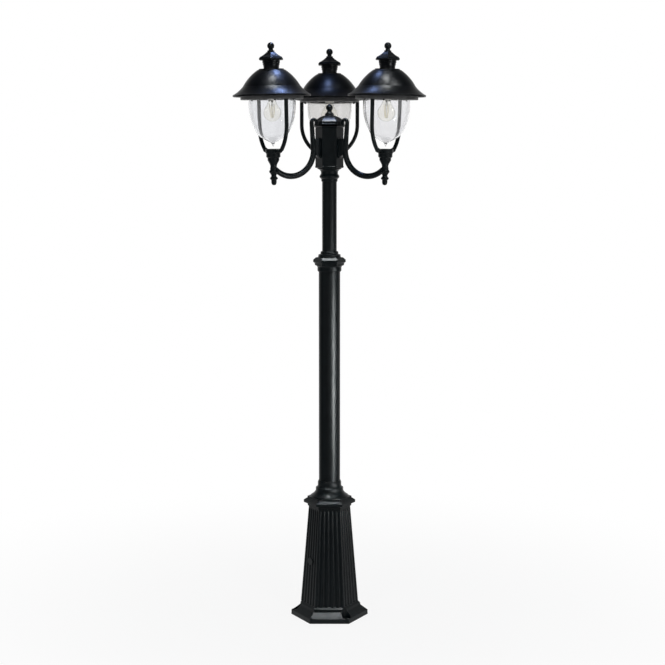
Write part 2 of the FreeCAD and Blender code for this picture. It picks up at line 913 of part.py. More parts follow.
def hub_cap():
    """Six-sided lid: fascia, eave and domed roof, with a round spigot inside the hub."""
    body = turned(
        "hub_cap",
        [
            ("0", "lid_eave_top - 4"),
            ("lid_hollow_radius", "lid_eave_top - 8"),
            ("lid_hollow_radius", "hub_top - lid_spigot_depth"),
            ("lid_spigot_radius", "hub_top - lid_spigot_depth"),
            ("lid_spigot_radius", "hub_top"),
            ("lid_fascia_corner + 1", "hub_top"),
            ("lid_fascia_corner + 1", "lid_crown_level"),
            ("lid_boss_radius", "lid_crown_level"),
            ("lid_boss_radius", "lid_boss_top"),
            ("knob_stud_radius", "lid_boss_top"),
            ("knob_stud_radius", "lid_boss_top - knob_stud_length"),
            ("0", "lid_boss_top - knob_stud_length"),
        ],
    )
    plane_sides(
        body,
        "lid_moulding",
        [
            ("hub_corner", "hub_top"),
            ("lid_fascia_corner", "lid_fascia_foot"),
            ("lid_fascia_corner", "lid_fascia_top"),
            ("lid_eave_corner", "lid_fascia_top + 1"),
            ("lid_eave_corner", "lid_eave_top"),
            ("lid_crown_corner", "lid_crown_level", "+lid_roof_arc"),
        ],
        "lid_fascia_corner + 20",
    )
    return body


def ball_knob(label, foot, neck, ball):
    """A ball on a waisted neck. foot is the outline below the neck point, which may have a bend."""
    neck_radius = neck[0]
    ball_radius, ball_level = ball
    seat = f"{ball_level} - sqrt({ball_radius} ^ 2 - {neck_radius} ^ 2)"
    outline = foot + [
        neck,
        (neck_radius, seat),
        (ball_radius, ball_level, f"+{ball_radius}"),
        ("0", f"{ball_level} + {ball_radius}", f"+{ball_radius}"),
    ]
    return turned(label, outline)


def hub_finial():
    """Ball knob screwed into the lid."""
    return ball_knob(
        "hub_finial",
        [
            ("0", "lid_boss_top - knob_stud_length"),
            ("knob_stud_radius", "lid_boss_top - knob_stud_length"),
            ("knob_stud_radius", "lid_boss_top"),
            ("knob_foot_radius", "lid_boss_top"),
            ("knob_foot_radius - 1", "knob_foot_top"),
        ],
        ("knob_neck_radius", "knob_neck_level", "-knob_foot_arc"),
        ("knob_ball_radius", "knob_ball_level"),
    )


def terminal_block():
    """Strip of three connection wells on the floor of the hub."""
    body = new_body("terminal_block")
    foot = size("hub_foot + hub_floor")
    sketch = new_sketch(body, "terminal_plan", "XY_Plane", raised(foot))
    half = "terminal_length / 2"
    near, far = "terminal_offset", "terminal_offset + terminal_depth"
    draw_outline(sketch, [(f"0 - {half}", near), (half, near), (half, far), (f"0 - {half}", far)])
    pad = body.newObject("PartDesign::Pad", "terminal_bar")
    pad.Profile = sketch
    pad.setExpression("Length", bound("terminal_height"))
    body.Tip = pad
    top = raised(foot + size("terminal_height"))
    wells = new_sketch(body, "terminal_wells", "XY_Plane", top)
    for share in (-1, 0, 1):
        across = f"{share} * terminal_length / 3" if share else "0"
        circle_sketch(wells, across, "terminal_offset + terminal_depth / 2", "terminal_well")
    cut = body.newObject("PartDesign::Pocket", "terminal_holes")
    cut.Profile = wells
    cut.setExpression("Length", bound("terminal_height / 2"))
    body.Tip = cut
    return body


def polar_solids(label, solids, count):
    """Identical separate solids in one node, repeated about the post's axis from +Y on."""
    copies = []
    for solid in solids:
        for i in range(count):
            copy = solid.copy()
            copy.rotate(Vector(), UP, 90 + 360 / count * i)
            copies.append(copy)
    node = doc.addObject("Part::Feature", label)
    node.Label = label
    node.Shape = Part.makeCompound(copies)
    return node


def set_screws():
    """Grub screws that hold the poles in the cap, the collar and the neck."""
    solids = []
    radius = size("screw_radius - screw_gap")
    for level, pole, outside in (
        ("cap_screw_level", "lower_pole_radius", "flare_collar_radius"),
        ("collar_screw_level", "upper_pole_radius", "collar_top_radius"),
        ("neck_screw_level", "upper_pole_radius", "neck_foot_radius"),
    ):
        start = Vector(size(f"{pole} + screw_gap"), 0, size(level))
        length = size(f"{outside} - screw_sink - {pole}")
        solids.append(Part.makeCylinder(radius, length, start, Vector(1, 0, 0)))
    return polar_solids("set_screws", solids, 3)


def hexagonal_head(corner, thickness, start, direction):
    """A hexagonal prism, as on a bolt's head."""
    points = [
        Vector(corner * math.cos(SIXTY * i), corner * math.sin(SIXTY * i), 0) for i in range(7)
    ]
    prism = Part.Face(Part.makePolygon(points)).extrude(UP * thickness)
    prism.Placement = FreeCAD.Placement(start, FreeCAD.Rotation(UP, direction))
    return prism


def arm_bolts():
    """Two bolts for each arm, with their heads inside the hub."""
    solids = []
    face = size("(hub_corner * cos(30)) - hub_wall")
    out = Vector(1, 0, 0)
    for word in ("low", "high"):
        start = Vector(face, 0, size(f"arm_bolt_{word}"))
        shank = Part.makeCylinder(size("arm_bolt_radius"), size("arm_bolt_length"), start, out)
        thickness = size("arm_bolt_head_thickness")
        head = hexagonal_head(size("arm_bolt_head"), thickness, start - out * thickness, out)
        solids.append(head.fuse(shank).removeSplitter())
    return polar_solids("arm_bolts", solids, 3)


# ---------------------------------------------------------------- arms


CURL_RINGS = 9
BOW_RINGS = 9


def even_shares(count):
    """Evenly spaced shares from 0 to 1."""
    return [i / (count - 1) for i in range(count)]


def bend_point(centre_radius, level, bend, angle):
    """Point and heading on a bend of the arm, in the arm's own upright plane."""
    centre = Vector(size(centre_radius), 0, size(level))
    outward = Vector(math.cos(angle), 0, math.sin(angle))
    return centre + outward * size(bend), Vector(-math.sin(angle), 0, math.cos(angle))


def arm_stations():
    """Stations (point, heading, half thickness) from the tip of the curl to the knuckle.

    The curl and the bow are arcs. The straight leg between them is their inner tangent,
    which leans by an angle that follows from their centres and radii.
    """
    apart = Vector(
        size("bow_centre_radius - curl_centre_radius"), 0, size("bow_level - curl_level")
    )
    lean = math.atan2(apart.z, apart.x) - math.asin(size("curl_bend + bow_bend") / apart.Length)
    turn = lean + math.pi / 2
    tip, leg, block = size("arm_tip_half"), size("arm_leg_half"), size("arm_block_half")
    bow, end = size("arm_bow_half"), size("arm_end_half")
    stations = []
    start = math.radians(size("curl_start_angle"))
    for share in even_shares(CURL_RINGS):
        angle = start + share * (turn - start)
        place, heading = bend_point("curl_centre_radius", "curl_level", "curl_bend", angle)
        stations.append((place, heading * -1, tip + share * (leg - tip)))
    across = size("lantern_radius - bow_centre_radius - bow_end_overlap")
    last_angle = -math.acos(across / size("bow_bend"))
    for share in even_shares(BOW_RINGS):
        angle = turn - math.pi + share * (last_angle - turn + math.pi)
        place, heading = bend_point("bow_centre_radius", "bow_level", "bow_bend", angle)
        swell = min(share / size("bow_swell_share"), 1)
        taper = max(1 - (1 - share) / size("bow_taper_share"), 0)
        stations.append((place, heading, block + swell * (bow - block) - taper * (bow - end)))
    return stations


def arm(label, azimuth):
    """Cast arm: curl, tapering leg, bow, knuckle, and the block and plate that meet the hub."""
    sections = []
    for i, (place, heading, half) in enumerate(arm_stations()):
        ring = doc.addObject("Part::Circle", f"{label}_ring_{i}")
        ring.Radius = half
        ring.Placement = FreeCAD.Placement(place, FreeCAD.Rotation(UP, heading))
        sections.append(ring)
    limb = doc.addObject("Part::Loft", label + "_limb")
    limb.Sections = sections
    limb.Solid = True
    limb.Ruled = False
    pieces = [limb, arm_tip(label, sections[0]), arm_block(label), knuckle(label)]
    whole = doc.addObject("Part::MultiFuse", label + "_whole")
    whole.Shapes = pieces
    node = doc.addObject("Part::Cut", label)
    node.Label = label
    node.Base = whole
    node.Tool = arm_bolt_holes(label)
    node.Placement = FreeCAD.Placement(Vector(), FreeCAD.Rotation(UP, azimuth))
    return node


def arm_tip(label, ring):
    """Round end of the curl."""
    ball = doc.addObject("Part::Sphere", label + "_tip")
    ball.setExpression("Radius", bound("arm_tip_half"))
    ball.Placement = FreeCAD.Placement(ring.Placement.Base, FreeCAD.Rotation())
    return ball


def arm_block(label):
    """Plate against the hub and the block that carries the leg, with a rounded foot."""
    body = new_body(label + "_block")
    face = "hub_corner * cos(30)"
    for name, half, outline in (
        (
            "plate",
            "plate_half_width",
            [
                (face, "plate_foot"),
                (f"{face} + plate_thickness", "plate_foot + plate_thickness"),
                (f"{face} + plate_thickness", "plate_top - plate_thickness"),
                (face, "plate_top"),
            ],
        ),
        (
            "block",
            "block_half_width",
            [
                (face, "block_foot"),
                ("block_reach", "block_foot + block_round", "+block_round + 2"),
                ("block_reach", "block_top"),
                (face, "block_top"),
            ],
        ),
    ):
        sketch = new_sketch(body, f"{label}_{name}_side", "XZ_Plane")
        draw_outline(sketch, outline)
        pad = body.newObject("PartDesign::Pad", f"{label}_{name}")
        pad.Profile = sketch
        pad.SideType = "Symmetric"
        pad.setExpression("Length", bound(f"2 * {half}"))
        body.Tip = pad
    return body


def knuckle(label):
    """Turned knuckle at the arm's end, on the lantern's leaning axis."""
    body = turned(
        label + "_knuckle",
        [
            ("acorn_stud_radius + acorn_stud_gap", "acorn_top"),
            ("acorn_top_radius", "acorn_top"),
            ("knuckle_ring_radius", "knuckle_ring_foot", "-knuckle_ring_arc"),
            ("knuckle_ring_radius", "knuckle_ring_top"),
            ("knuckle_waist_radius", "knuckle_waist_level"),
            ("knuckle_bead_radius", "knuckle_bead_level"),
            ("knuckle_top_radius", "knuckle_top"),
            ("acorn_stud_radius + acorn_stud_gap", "knuckle_top"),
        ],
    )
    body.Placement = lantern_place(0)
    return body


def arm_bolt_holes(label):
    """The two blind bolt holes in the block, and the bore for the acorn nut's stud."""
    holes = []
    for word in ("low", "high"):
        hole = doc.addObject("Part::Cylinder", f"{label}_{word}_hole")
        hole.setExpression("Radius", bound("arm_bolt_radius + arm_bolt_gap"))
        hole.Height = size("arm_bolt_length - hub_wall") + 1
        face = size("hub_corner * cos(30)")
        hole.Placement = FreeCAD.Placement(
            Vector(face - 0.5, 0, size(f"arm_bolt_{word}")), FreeCAD.Rotation(UP, Vector(1, 0, 0))
        )
        holes.append(hole)
    bore = doc.addObject("Part::Cylinder", f"{label}_stud_bore")
    bore.setExpression("Radius", bound("acorn_stud_radius + acorn_stud_gap"))
    bore.setExpression("Height", bound("knuckle_top - acorn_top + 2 * bore_overrun"))
    bore.Placement = lantern_place(0).multiply(raised(size("acorn_top - bore_overrun")))
    holes.append(bore)
    tools = doc.addObject("Part::MultiFuse", label + "_holes")
    tools.Shapes = holes
    return tools


# ---------------------------------------------------------------- lantern


def lantern_place(azimuth):
    """Where a lantern stands: out along its arm, leaning a little outwards."""
    lean = FreeCAD.Rotation(Vector(0, 1, 0), size("lantern_lean"))
    stand = FreeCAD.Placement(Vector(size("lantern_radius"), 0, size("lantern_level")), lean)
    return FreeCAD.Placement(Vector(), FreeCAD.Rotation(UP, azimuth)).multiply(stand)


def bottom_finial(label):
    """Acorn nut with the stud that screws up through the knuckle into the yoke."""
    return turned(
        label,
        [
            ("0", "0"),
            ("acorn_tip_radius", "acorn_tip_level", "+acorn_tip_arc"),
            ("acorn_radius", "acorn_level", "+acorn_arc"),
            ("acorn_radius", "acorn_neck_level"),
            ("acorn_collar_radius", "acorn_collar_foot"),
            ("acorn_collar_radius", "acorn_collar_top"),
            ("acorn_top_radius", "acorn_top", "-acorn_top_arc"),
            ("acorn_stud_radius", "acorn_top"),
            ("acorn_stud_radius", "acorn_stud_top"),
            ("0", "acorn_stud_top"),
        ],
    )


def yoke(label):
    """Stepped cup, crossbar, elbows and two bent rods in one casting."""
    cup = turned(
        label + "_cup",
        [
            ("acorn_stud_radius", "knuckle_top"),
            ("knuckle_top_radius", "knuckle_top"),
            ("cup_waist_radius", "cup_waist_level", "-cup_cove_arc"),
            ("cup_first_foot_radius", "cup_first_foot"),
            ("cup_first_radius", "cup_first_bottom"),
            ("cup_first_radius", "cup_first_top"),
            ("cup_second_radius", "cup_second_bottom"),
            ("cup_second_radius", "cup_second_top"),
            ("cup_rim_radius", "cup_rim_bottom"),
            ("cup_rim_radius", "cup_top"),
            ("0", "cup_top"),
            ("0", "acorn_stud_top + 0.5"),
            ("acorn_stud_radius", "acorn_stud_top + 0.5"),
        ],
    )
    pieces = [cup, crossbar(label)]
    for side in (1, -1):
        pieces.append(rod(label, side))
        elbow = doc.addObject("Part::Sphere", f"{label}_elbow")
        elbow.setExpression("Radius", bound("elbow_radius"))
        elbow.Placement.Base = Vector(0, side * size("elbow_offset"), size("elbow_level"))
        pieces.append(elbow)
    node = doc.addObject("Part::MultiFuse", label)
    node.Label = label
    node.Shapes = pieces
    return node


def crossbar(label):
    """Round bar across the top of the cup, from elbow to elbow."""
    bar = doc.addObject("Part::Cylinder", label + "_crossbar")
    bar.setExpression("Radius", bound("rod_radius - 0.4"))
    bar.setExpression("Height", bound("2 * elbow_offset"))
    end = Vector(0, -size("elbow_offset"), size("crossbar_level"))
    bar.Placement = FreeCAD.Placement(end, FreeCAD.Rotation(UP, Vector(0, 1, 0)))
    return bar


def rod(label, side):
    """One rod: straight down from the gallery, then bent in to its elbow."""
    out, bend = size("rod_centre_radius"), size("rod_bend")
    level, turn = size("rod_bend_level"), math.radians(size("rod_bend_angle"))

    def place(angle):
        inwards = bend * (1 - math.cos(angle))
        return Vector(0, side * (out - inwards), level - bend * math.sin(angle))

    top = Vector(0, side * out, size("gallery_foot"))
    path = Part.Wire(
        [
            Part.LineSegment(top, place(0)).toShape(),
            Part.Arc(place(0), place(turn / 2), place(turn)).toShape(),
        ]
    )
    section = Part.Wire([Part.Circle(top, UP, size("rod_radius")).toShape()])
    piece = doc.addObject("Part::Feature", f"{label}_rod")
    piece.Shape = path.makePipeShell([section], True, True)
    return piece


def gallery_ring(label):
    """Ring on the rods: a recessed seat for the glass and an upstand for the hood."""
    return turned(
        label,
        [
            ("gallery_bore", "gallery_foot"),
            ("gallery_radius - 1.5", "gallery_foot"),
            ("gallery_radius", "gallery_foot + 1.5"),
            ("gallery_radius", "gallery_top"),
            ("upstand_outer_radius", "gallery_top + 1"),
            ("upstand_outer_radius", "upstand_top - upstand_bevel"),
            ("upstand_inner_radius", "upstand_top"),
            ("upstand_inner_radius", "gallery_top"),
            ("gallery_seat_radius", "gallery_top"),
            ("gallery_seat_radius", "gallery_seat_level"),
            ("gallery_bore", "gallery_seat_level"),
        ],
    )


def glass_gasket(label):
    """Flat ring seal under the glass's flange."""
    top = "gallery_seat_level + gasket_thickness"
    return turned(
        label,
        [
            ("gasket_inner_radius", "gallery_seat_level"),
            ("gasket_outer_radius", "gallery_seat_level"),
            ("gasket_outer_radius", top),
            ("gasket_inner_radius", top),
        ],
    )


def glass_bowl(label):
    """Blown acorn glass: flange, straight shoulder, belly, shallow base and drop.

    The belly is an arc that starts upright, and the base an arc that carries on from
    it. The inside follows the outside at the thickness of the glass.
    """
    belly, base = "glass_belly_angle", "glass_base_angle"
    flange_foot = "gallery_seat_level + gasket_thickness"
    flange_top = f"{flange_foot} + glass_flange_thickness"

    def belly_end(inset):
        """End of the belly, inset from the outside."""
        arc = f"(glass_belly_arc - {inset})"
        across = f"glass_radius - glass_belly_arc + {arc} * cos({belly})"
        return across, f"glass_belly_level - {arc} * sin({belly})"

    def base_end(inset):
        """End of the base, inset from the outside."""
        between = "(glass_belly_arc - glass_base_arc)"
        centre_across = f"(glass_radius - glass_belly_arc + {between} * cos({belly}))"
        centre_level = f"(glass_belly_level - {between} * sin({belly}))"
        arc = f"(glass_base_arc - {inset})"
        return f"{centre_across} + {arc} * cos({base})", f"{centre_level} - {arc} * sin({base})"

    def on_cone(across, inset):
        """Level on the straight cone below the base, at a distance from the axis."""
        start_across, start_level = base_end(inset)
        return f"{start_level} - ({start_across} - {across}) / tan({base})"

    outside = [
        ("0", "glass_tip_level"),
        ("glass_drop_radius", "glass_drop_level", "+glass_drop_radius + 0.8"),
        ("glass_nipple_radius", on_cone("glass_nipple_radius", "0"), "-glass_nipple_arc"),
        base_end("0"),
        belly_end("0") + ("+glass_base_arc",),
        ("glass_radius", "glass_belly_level", "+glass_belly_arc"),
        ("glass_radius", flange_foot),
        ("glass_flange_radius", flange_foot),
        ("glass_flange_radius", flange_top),
    ]
    inside = [
        ("glass_radius - glass_wall", flange_top),
        ("glass_radius - glass_wall", "glass_belly_level"),
        belly_end("glass_wall") + ("-glass_belly_arc - glass_wall",),
        base_end("glass_wall") + ("-glass_base_arc - glass_wall",),
        ("0", on_cone("0", "glass_wall")),
    ]
    return turned(label, outside + inside)


def glass_clips(label, azimuth):
    """Four clips over the glass's flange, each with a screw up through the ring."""
    solids = []
    top = size("gallery_top")
    flange_top = size("gallery_seat_level + gasket_thickness + glass_flange_thickness")
    inner, outer = size("clip_inner_radius"), size("clip_outer_radius")
    half, thick = size("clip_half_width"), size("clip_thickness")
    for angle in (90 - size("clip_angle"), 90 + size("clip_angle")):
        strap = Part.makeBox(outer - inner, 2 * half, thick, Vector(inner, -half, top))
        toe_reach = size("gallery_seat_radius") - 1 - inner
        toe = Part.makeBox(toe_reach, 2 * half, top - flange_top, Vector(inner, -half, flange_top))
        circle = size("clip_screw_circle")
        corner, tall = size("clip_head_corner"), size("clip_head_thickness")
        nut = hexagonal_head(corner, tall, Vector(circle, 0, top + thick), UP)
        head = hexagonal_head(corner, tall, Vector(circle, 0, size("gallery_foot")), UP * -1)
        for solid in (strap.fuse(toe).fuse(nut).removeSplitter(), head):
            for half_turn in (0, 180):
                copy = solid.copy()
                copy.rotate(Vector(), UP, angle + half_turn)
                solids.append(copy)
    node = doc.addObject("Part::Feature", label)
    node.Shape = Part.makeCompound(solids)
    return node


def hood(label):
    """Spun bell: rolled lip, hollow flare, domed crown and flat ledge, one wall thick."""
    wall = "hood_wall"

    def inside(point, slope):
        """The point one wall in from an outline point, where the sheet has that slope."""
        return (
            f"hood_{point}_radius - {wall} * sin({slope})",
            f"hood_{point}_level - {wall} * cos({slope})",
        )

    return turned(
        label,
        [
            (f"hood_lip_radius - {wall}", "hood_lip_foot + hood_lip_roll"),
            ("hood_lip_radius - hood_lip_roll", "hood_lip_foot"),
            ("hood_lip_radius", "hood_lip_foot + hood_lip_roll", "+hood_lip_roll"),
            ("hood_lip_radius", "hood_lip_top"),
            ("hood_rim_radius", "hood_rim_level"),
            ("hood_flare_radius", "hood_flare_level", "-hood_flare_arc"),
            ("hood_crown_radius", "hood_crown_level", "+hood_dome_arc"),
            ("hood_ledge_radius", "hood_ledge_foot"),
            ("hood_ledge_radius", "hood_ledge_top"),
            ("rod_thread_radius + rod_thread_gap", "hood_ledge_top"),
            ("rod_thread_radius + rod_thread_gap", f"hood_ledge_top - {wall}"),
            (f"hood_ledge_radius - {wall}", f"hood_ledge_top - {wall}"),
            (f"hood_ledge_radius - {wall}", f"hood_crown_level - {wall}"),
            inside("flare", "hood_flare_slope") + (f"-hood_dome_arc - {wall}",),
            inside("rim", "hood_rim_slope") + (f"+hood_flare_arc + {wall}",),
        ],
    )


def vent_drum(label):
    """Open drum that flares upwards in three louvre steps."""
    outline = [
        ("drum_inner_radius", "hood_ledge_top"),
        ("drum_foot_radius", "hood_ledge_top"),
        ("drum_waist_radius", "drum_waist_level"),
    ]
    for step in (1, 2):
        radius = f"drum_waist_radius + {step} * (drum_top_radius - drum_waist_radius) / 3"
        level = f"drum_waist_level + {step} * (drum_top - drum_waist_level) / 3"
        outline.append((f"{radius} + drum_step", level))
        outline.append((radius, f"{level} + drum_step_rise"))
    outline += [("drum_top_radius", "drum_top"), ("drum_inner_radius + 3", "drum_top")]
    return turned(label, outline)


def cowl(label):
    """Six-sided cowl with a hollow roof line, a corner towards the post and a round boss on top."""
    bore = "rod_thread_radius + rod_thread_gap"
    to_corner = "/ cos(30)"
    body = turned(
        label,
        [
            (bore, "cowl_hollow_top"),
            ("cowl_hollow_radius", "drum_top"),
            (f"cowl_eave_face {to_corner} + 1", "drum_top"),
            (f"cowl_eave_face {to_corner} + 1", "cowl_crown"),
            ("cowl_boss_radius", "cowl_crown"),
            ("cowl_boss_radius", "cowl_boss_top"),
            (bore, "cowl_boss_top"),
        ],
    )
    plane_sides(
        body,
        label + "_roof",
        [
            (f"(cowl_eave_face - 2) {to_corner}", "drum_top"),
            (f"cowl_eave_face {to_corner}", "drum_top + 2"),
            (f"cowl_eave_face {to_corner}", "cowl_eave_top"),
            (f"cowl_roof_foot_face {to_corner}", "cowl_roof_foot"),
            (f"cowl_crown_face {to_corner}", "cowl_crown", "-cowl_roof_arc"),
        ],
        "cowl_eave_face + 30",
    )
    return body


def hood_finial(label):
    """Ball nut, bored for the centre rod."""
    bore = "rod_thread_radius + rod_thread_gap"
    return ball_knob(
        label,
        [
            ("0", "rod_thread_top + 1"),
            (bore, "rod_thread_top + 1"),
            (bore, "cowl_boss_top"),
            ("ball_foot_radius", "cowl_boss_top"),
            ("ball_foot_radius", "ball_foot_top"),
        ],
        ("ball_neck_radius", "ball_neck_level"),
        ("ball_radius", "ball_level"),
    )


def centre_rod(label):
    """Threaded rod that clamps hood, drum and cowl between the lampholder and the ball nut."""
    return turned(
        label,
        [
            ("0", "holder_top"),
            ("rod_thread_radius", "holder_top"),
            ("rod_thread_radius", "rod_thread_top"),
            ("0", "rod_thread_top"),
        ],
    )


def lampholder(label):
    """Porcelain lampholder: skirt, shouldered body and a bore that takes the bulb's cap."""
    return turned(
        label,
        [
            ("holder_bore", "holder_foot"),
            ("holder_skirt_radius - 1.5", "holder_foot"),
            ("holder_skirt_radius", "holder_foot + 1.5"),
            ("holder_skirt_radius", "holder_skirt_top - 3"),
            ("holder_body_radius", "holder_skirt_top"),
            ("holder_body_radius", "holder_top"),
            ("0", "holder_top"),
            ("0", "holder_bore_top"),
            ("holder_bore", "holder_bore_top"),
        ],
    )


def bulb_globe(label):
    """Clear pear-shaped globe, open at its neck."""
    inner = "(bulb_radius - bulb_glass)"
    return turned(
        label,
        [
            ("0", "bulb_centre - bulb_radius"),
            ("bulb_radius", "bulb_centre", "+bulb_radius"),
            ("bulb_flare_radius", "bulb_flare_level", "+bulb_radius"),
            ("bulb_neck_radius", "bulb_cap_foot", "-bulb_neck_arc"),
            ("bulb_neck_radius - bulb_glass", "bulb_cap_foot"),
            ("bulb_flare_radius - bulb_glass", "bulb_flare_level", "+bulb_neck_arc + bulb_glass"),
            (inner, "bulb_centre", f"-{inner} + 0.1"),
            ("0", f"bulb_centre - {inner}", f"-{inner}"),
        ],
    )


def bulb_cap(label):
    """Screw cap of the bulb with its end contact."""
    return turned(
        label,
        [
            ("0", "bulb_cap_foot"),
            ("bulb_cap_radius", "bulb_cap_foot"),
            ("bulb_cap_radius", "bulb_cap_top"),
            ("bulb_contact_radius + 1.5", "bulb_contact_foot"),
            ("bulb_contact_radius", "bulb_contact_top"),
            ("0", "bulb_contact_top"),
        ],
    )


def filament(label):
    """Glass stem with an upper and a lower spider and four filament sticks between them."""
    body = turned(
        label,
        [
            ("0", "filament_foot"),
            ("spider_radius", "filament_foot"),
            ("spider_radius", "filament_foot + spider_thickness"),
            ("1", "filament_foot + spider_thickness"),
            ("1", "stem_foot"),
            ("spider_radius", "stem_foot"),
            ("spider_radius", "stem_foot + spider_thickness"),
            ("stem_radius", "stem_foot + spider_thickness"),
            ("stem_radius", "bulb_cap_foot"),
            ("0", "bulb_cap_foot"),
        ],
    )
    sketch = new_sketch(body, label + "_stick_plan", "XY_Plane", raised(size("filament_foot")))
    half = "filament_half_width"
    draw_outline(
        sketch,
        [
            (f"filament_radius - {half}", f"0 - {half}"),
            (f"filament_radius + {half}", f"0 - {half}"),
            (f"filament_radius + {half}", half),
            (f"filament_radius - {half}", half),
        ],
    )
    stick = body.newObject("PartDesign::Pad", label + "_stick")
    stick.Profile = sketch
    stick.setExpression("Length", bound("filament_top - filament_foot"))
    around(body, label + "_sticks", [stick], 4)
    return body


LANTERN_PIECES = {
    "bottom_finial": bottom_finial,
    "yoke": yoke,
    "gallery_ring": gallery_ring,
    "glass_gasket": glass_gasket,
    "glass_bowl": glass_bowl,
    "hood": hood,
    "vent_drum": vent_drum,
    "cowl": cowl,
    "hood_finial": hood_finial,
    "centre_rod": centre_rod,
    "lampholder": lampholder,
    "bulb_globe": bulb_globe,
    "bulb_cap": bulb_cap,
    "filament": filament,
}
AZIMUTHS = {"rear": 90, "left": 210, "right": 330}

# ---------------------------------------------------------------- assembly

nodes = [
    pedestal(),
    pedestal_cap(),
    tube("lower_pole", "lower_pole_radius", "lower_pole_foot", "lower_pole_head"),
    pole_collar(),
    tube("upper_pole", "upper_pole_radius", "upper_pole_foot", "upper_pole_head"),
    hub_neck(),
    hub_body(),
    hub_cap(),
    hub_finial(),
    terminal_block(),
    set_screws(),
    arm_bolts(),
]
for side, azimuth in AZIMUTHS.items():
    nodes.append(arm(f"{side}_arm", azimuth))
    for piece, make in LANTERN_PIECES.items():
        node = make(f"{side}_{piece}")
        node.Placement = lantern_place(azimuth)
        nodes.append(node)
    clips = glass_clips(f"{side}_glass_clips", azimuth)
    clips.Placement = lantern_place(azimuth)
    nodes.append(clips)

doc.recompute()

# ---------------------------------------------------------------- check and write

failed = [o.Label for o in doc.Objects if "Invalid" in o.State or "Error" in o.State]
if failed:
    raise SystemExit(f"these objects did not build: {failed}")
for node in nodes:
    shape = node.Shape
    if shape.isNull() or not shape.isValid() or shape.Volume <= 0:
        raise SystemExit(f"{node.Label} has no sound solid")

os.makedirs("parts", exist_ok=True)
for node in nodes:
    node.Shape.exportStep(f"parts/{node.Label}.step")
    solids, volume = len(node.Shape.Solids), node.Shape.Volume / 1000
    levels = f"{node.Shape.BoundBox.ZMin:.1f} to {node.Shape.BoundBox.ZMax:.1f}"
    print(f"{node.Label}: {solids} solids, {volume:.1f} cm3, {levels}")
print(f"{len(nodes)} nodes")
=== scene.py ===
# %% [markdown]
# # A garden lamp post with three lanterns
# The lamp post was made first as a solid model: a fluted pedestal, two poles, a hub and three
# arms that each carry a lantern. Here it gets its looks. The solid pieces stay where they are,
# and each one gets a finish made of nodes. Small things that a solid model leaves plain, such as
# the bulb's thread and its glass stem, are added as surfaces worked out as arrays of points.

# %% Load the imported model
import json
import math

import bpy
import numpy as np
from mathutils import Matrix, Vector


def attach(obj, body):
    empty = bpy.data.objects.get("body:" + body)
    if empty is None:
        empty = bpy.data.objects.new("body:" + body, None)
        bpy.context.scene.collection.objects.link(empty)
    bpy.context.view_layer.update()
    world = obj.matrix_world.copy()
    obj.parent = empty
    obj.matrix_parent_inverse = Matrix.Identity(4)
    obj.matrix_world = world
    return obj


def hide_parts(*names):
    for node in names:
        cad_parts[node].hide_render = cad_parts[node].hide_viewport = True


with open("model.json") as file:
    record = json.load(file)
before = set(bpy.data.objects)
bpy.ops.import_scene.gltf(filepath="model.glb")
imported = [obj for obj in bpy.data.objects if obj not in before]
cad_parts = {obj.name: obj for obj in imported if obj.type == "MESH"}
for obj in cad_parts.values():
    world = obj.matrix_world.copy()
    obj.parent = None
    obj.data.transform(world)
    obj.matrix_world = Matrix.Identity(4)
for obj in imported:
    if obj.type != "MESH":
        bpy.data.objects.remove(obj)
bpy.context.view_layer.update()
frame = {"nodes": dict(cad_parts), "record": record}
nodes = frame["nodes"]
slot_of = {part["node"]: part["material_slot"] for part in frame["record"]["subparts"]}

# %% [markdown]
# ## The camera
# The photograph was taken from about the height of the hub, some six metres away, looking a little
# down. A camera could be set by eye, but then poles and hoods only nearly agree. So the edges of
# the poles, hoods and foot were measured in the picture, and the place, tilt and focal length below
# are the ones that put those edges where the photograph has them.

# %% Camera
CAMERA_PLACE = (0.0126, -6.300, 1.965)
CAMERA_TILT_DOWN = 6.91
SENSOR_WIDTH, FOCAL_LENGTH = 36.0, 82.84
camera_data = bpy.data.cameras.new("photo_camera")
camera_data.sensor_width = SENSOR_WIDTH
camera_data.lens = FOCAL_LENGTH
camera = bpy.data.objects.new("photo_camera", camera_data)
camera.location = CAMERA_PLACE
camera.rotation_euler = (math.radians(90 - CAMERA_TILT_DOWN), 0, 0)
bpy.context.scene.collection.objects.link(camera)
bpy.context.scene.camera = camera
bpy.context.scene.view_settings.view_transform = "Standard"
print("camera at", CAMERA_PLACE, "tilted down", CAMERA_TILT_DOWN, "degrees")

# %% [markdown]
# ## Short words for node work
# A finish is a small machine of nodes, each with input and output sockets. Every node could be
# made and linked in full, at four or five lines apiece. These helpers add a node, join two sockets,
# do a sum, and start a group with named sockets, so that the cells below read as recipes.


# %% Node helpers
def add(tree, kind, inputs=(), **settings):
    """A new node of that kind, with its settings and the values of its named input sockets."""
    node = tree.nodes.new(kind)
    for name, value in settings.items():
        setattr(node, name, value)
    for socket, value in dict(inputs).items():
        node.inputs[socket].default_value = value
    return node


def join(tree, *pairs):
    """Links each pair of an output socket and an input socket."""
    for out_socket, in_socket in pairs:
        tree.links.new(out_socket, in_socket)


def maths(tree, operation, first, second):
    """A Math node's output: each operand is a socket or a plain number."""
    node = add(tree, "ShaderNodeMath", operation=operation)
    for place, operand in enumerate((first, second)):
        if isinstance(operand, (int, float)):
            node.inputs[place].default_value = operand
        else:
            tree.links.new(operand, node.inputs[place])
    return node.outputs[0]


def spread(tree, value, low, high, to_low=0.0, to_high=1.0):
    """A value moved smoothly from the range low..high to the range to_low..to_high."""
    ranges = {"From Min": low, "From Max": high, "To Min": to_low, "To Max": to_high}
    node = add(tree, "ShaderNodeMapRange", ranges, interpolation_type="SMOOTHSTEP")
    tree.links.new(value, node.inputs["Value"])
    return node.outputs["Result"]


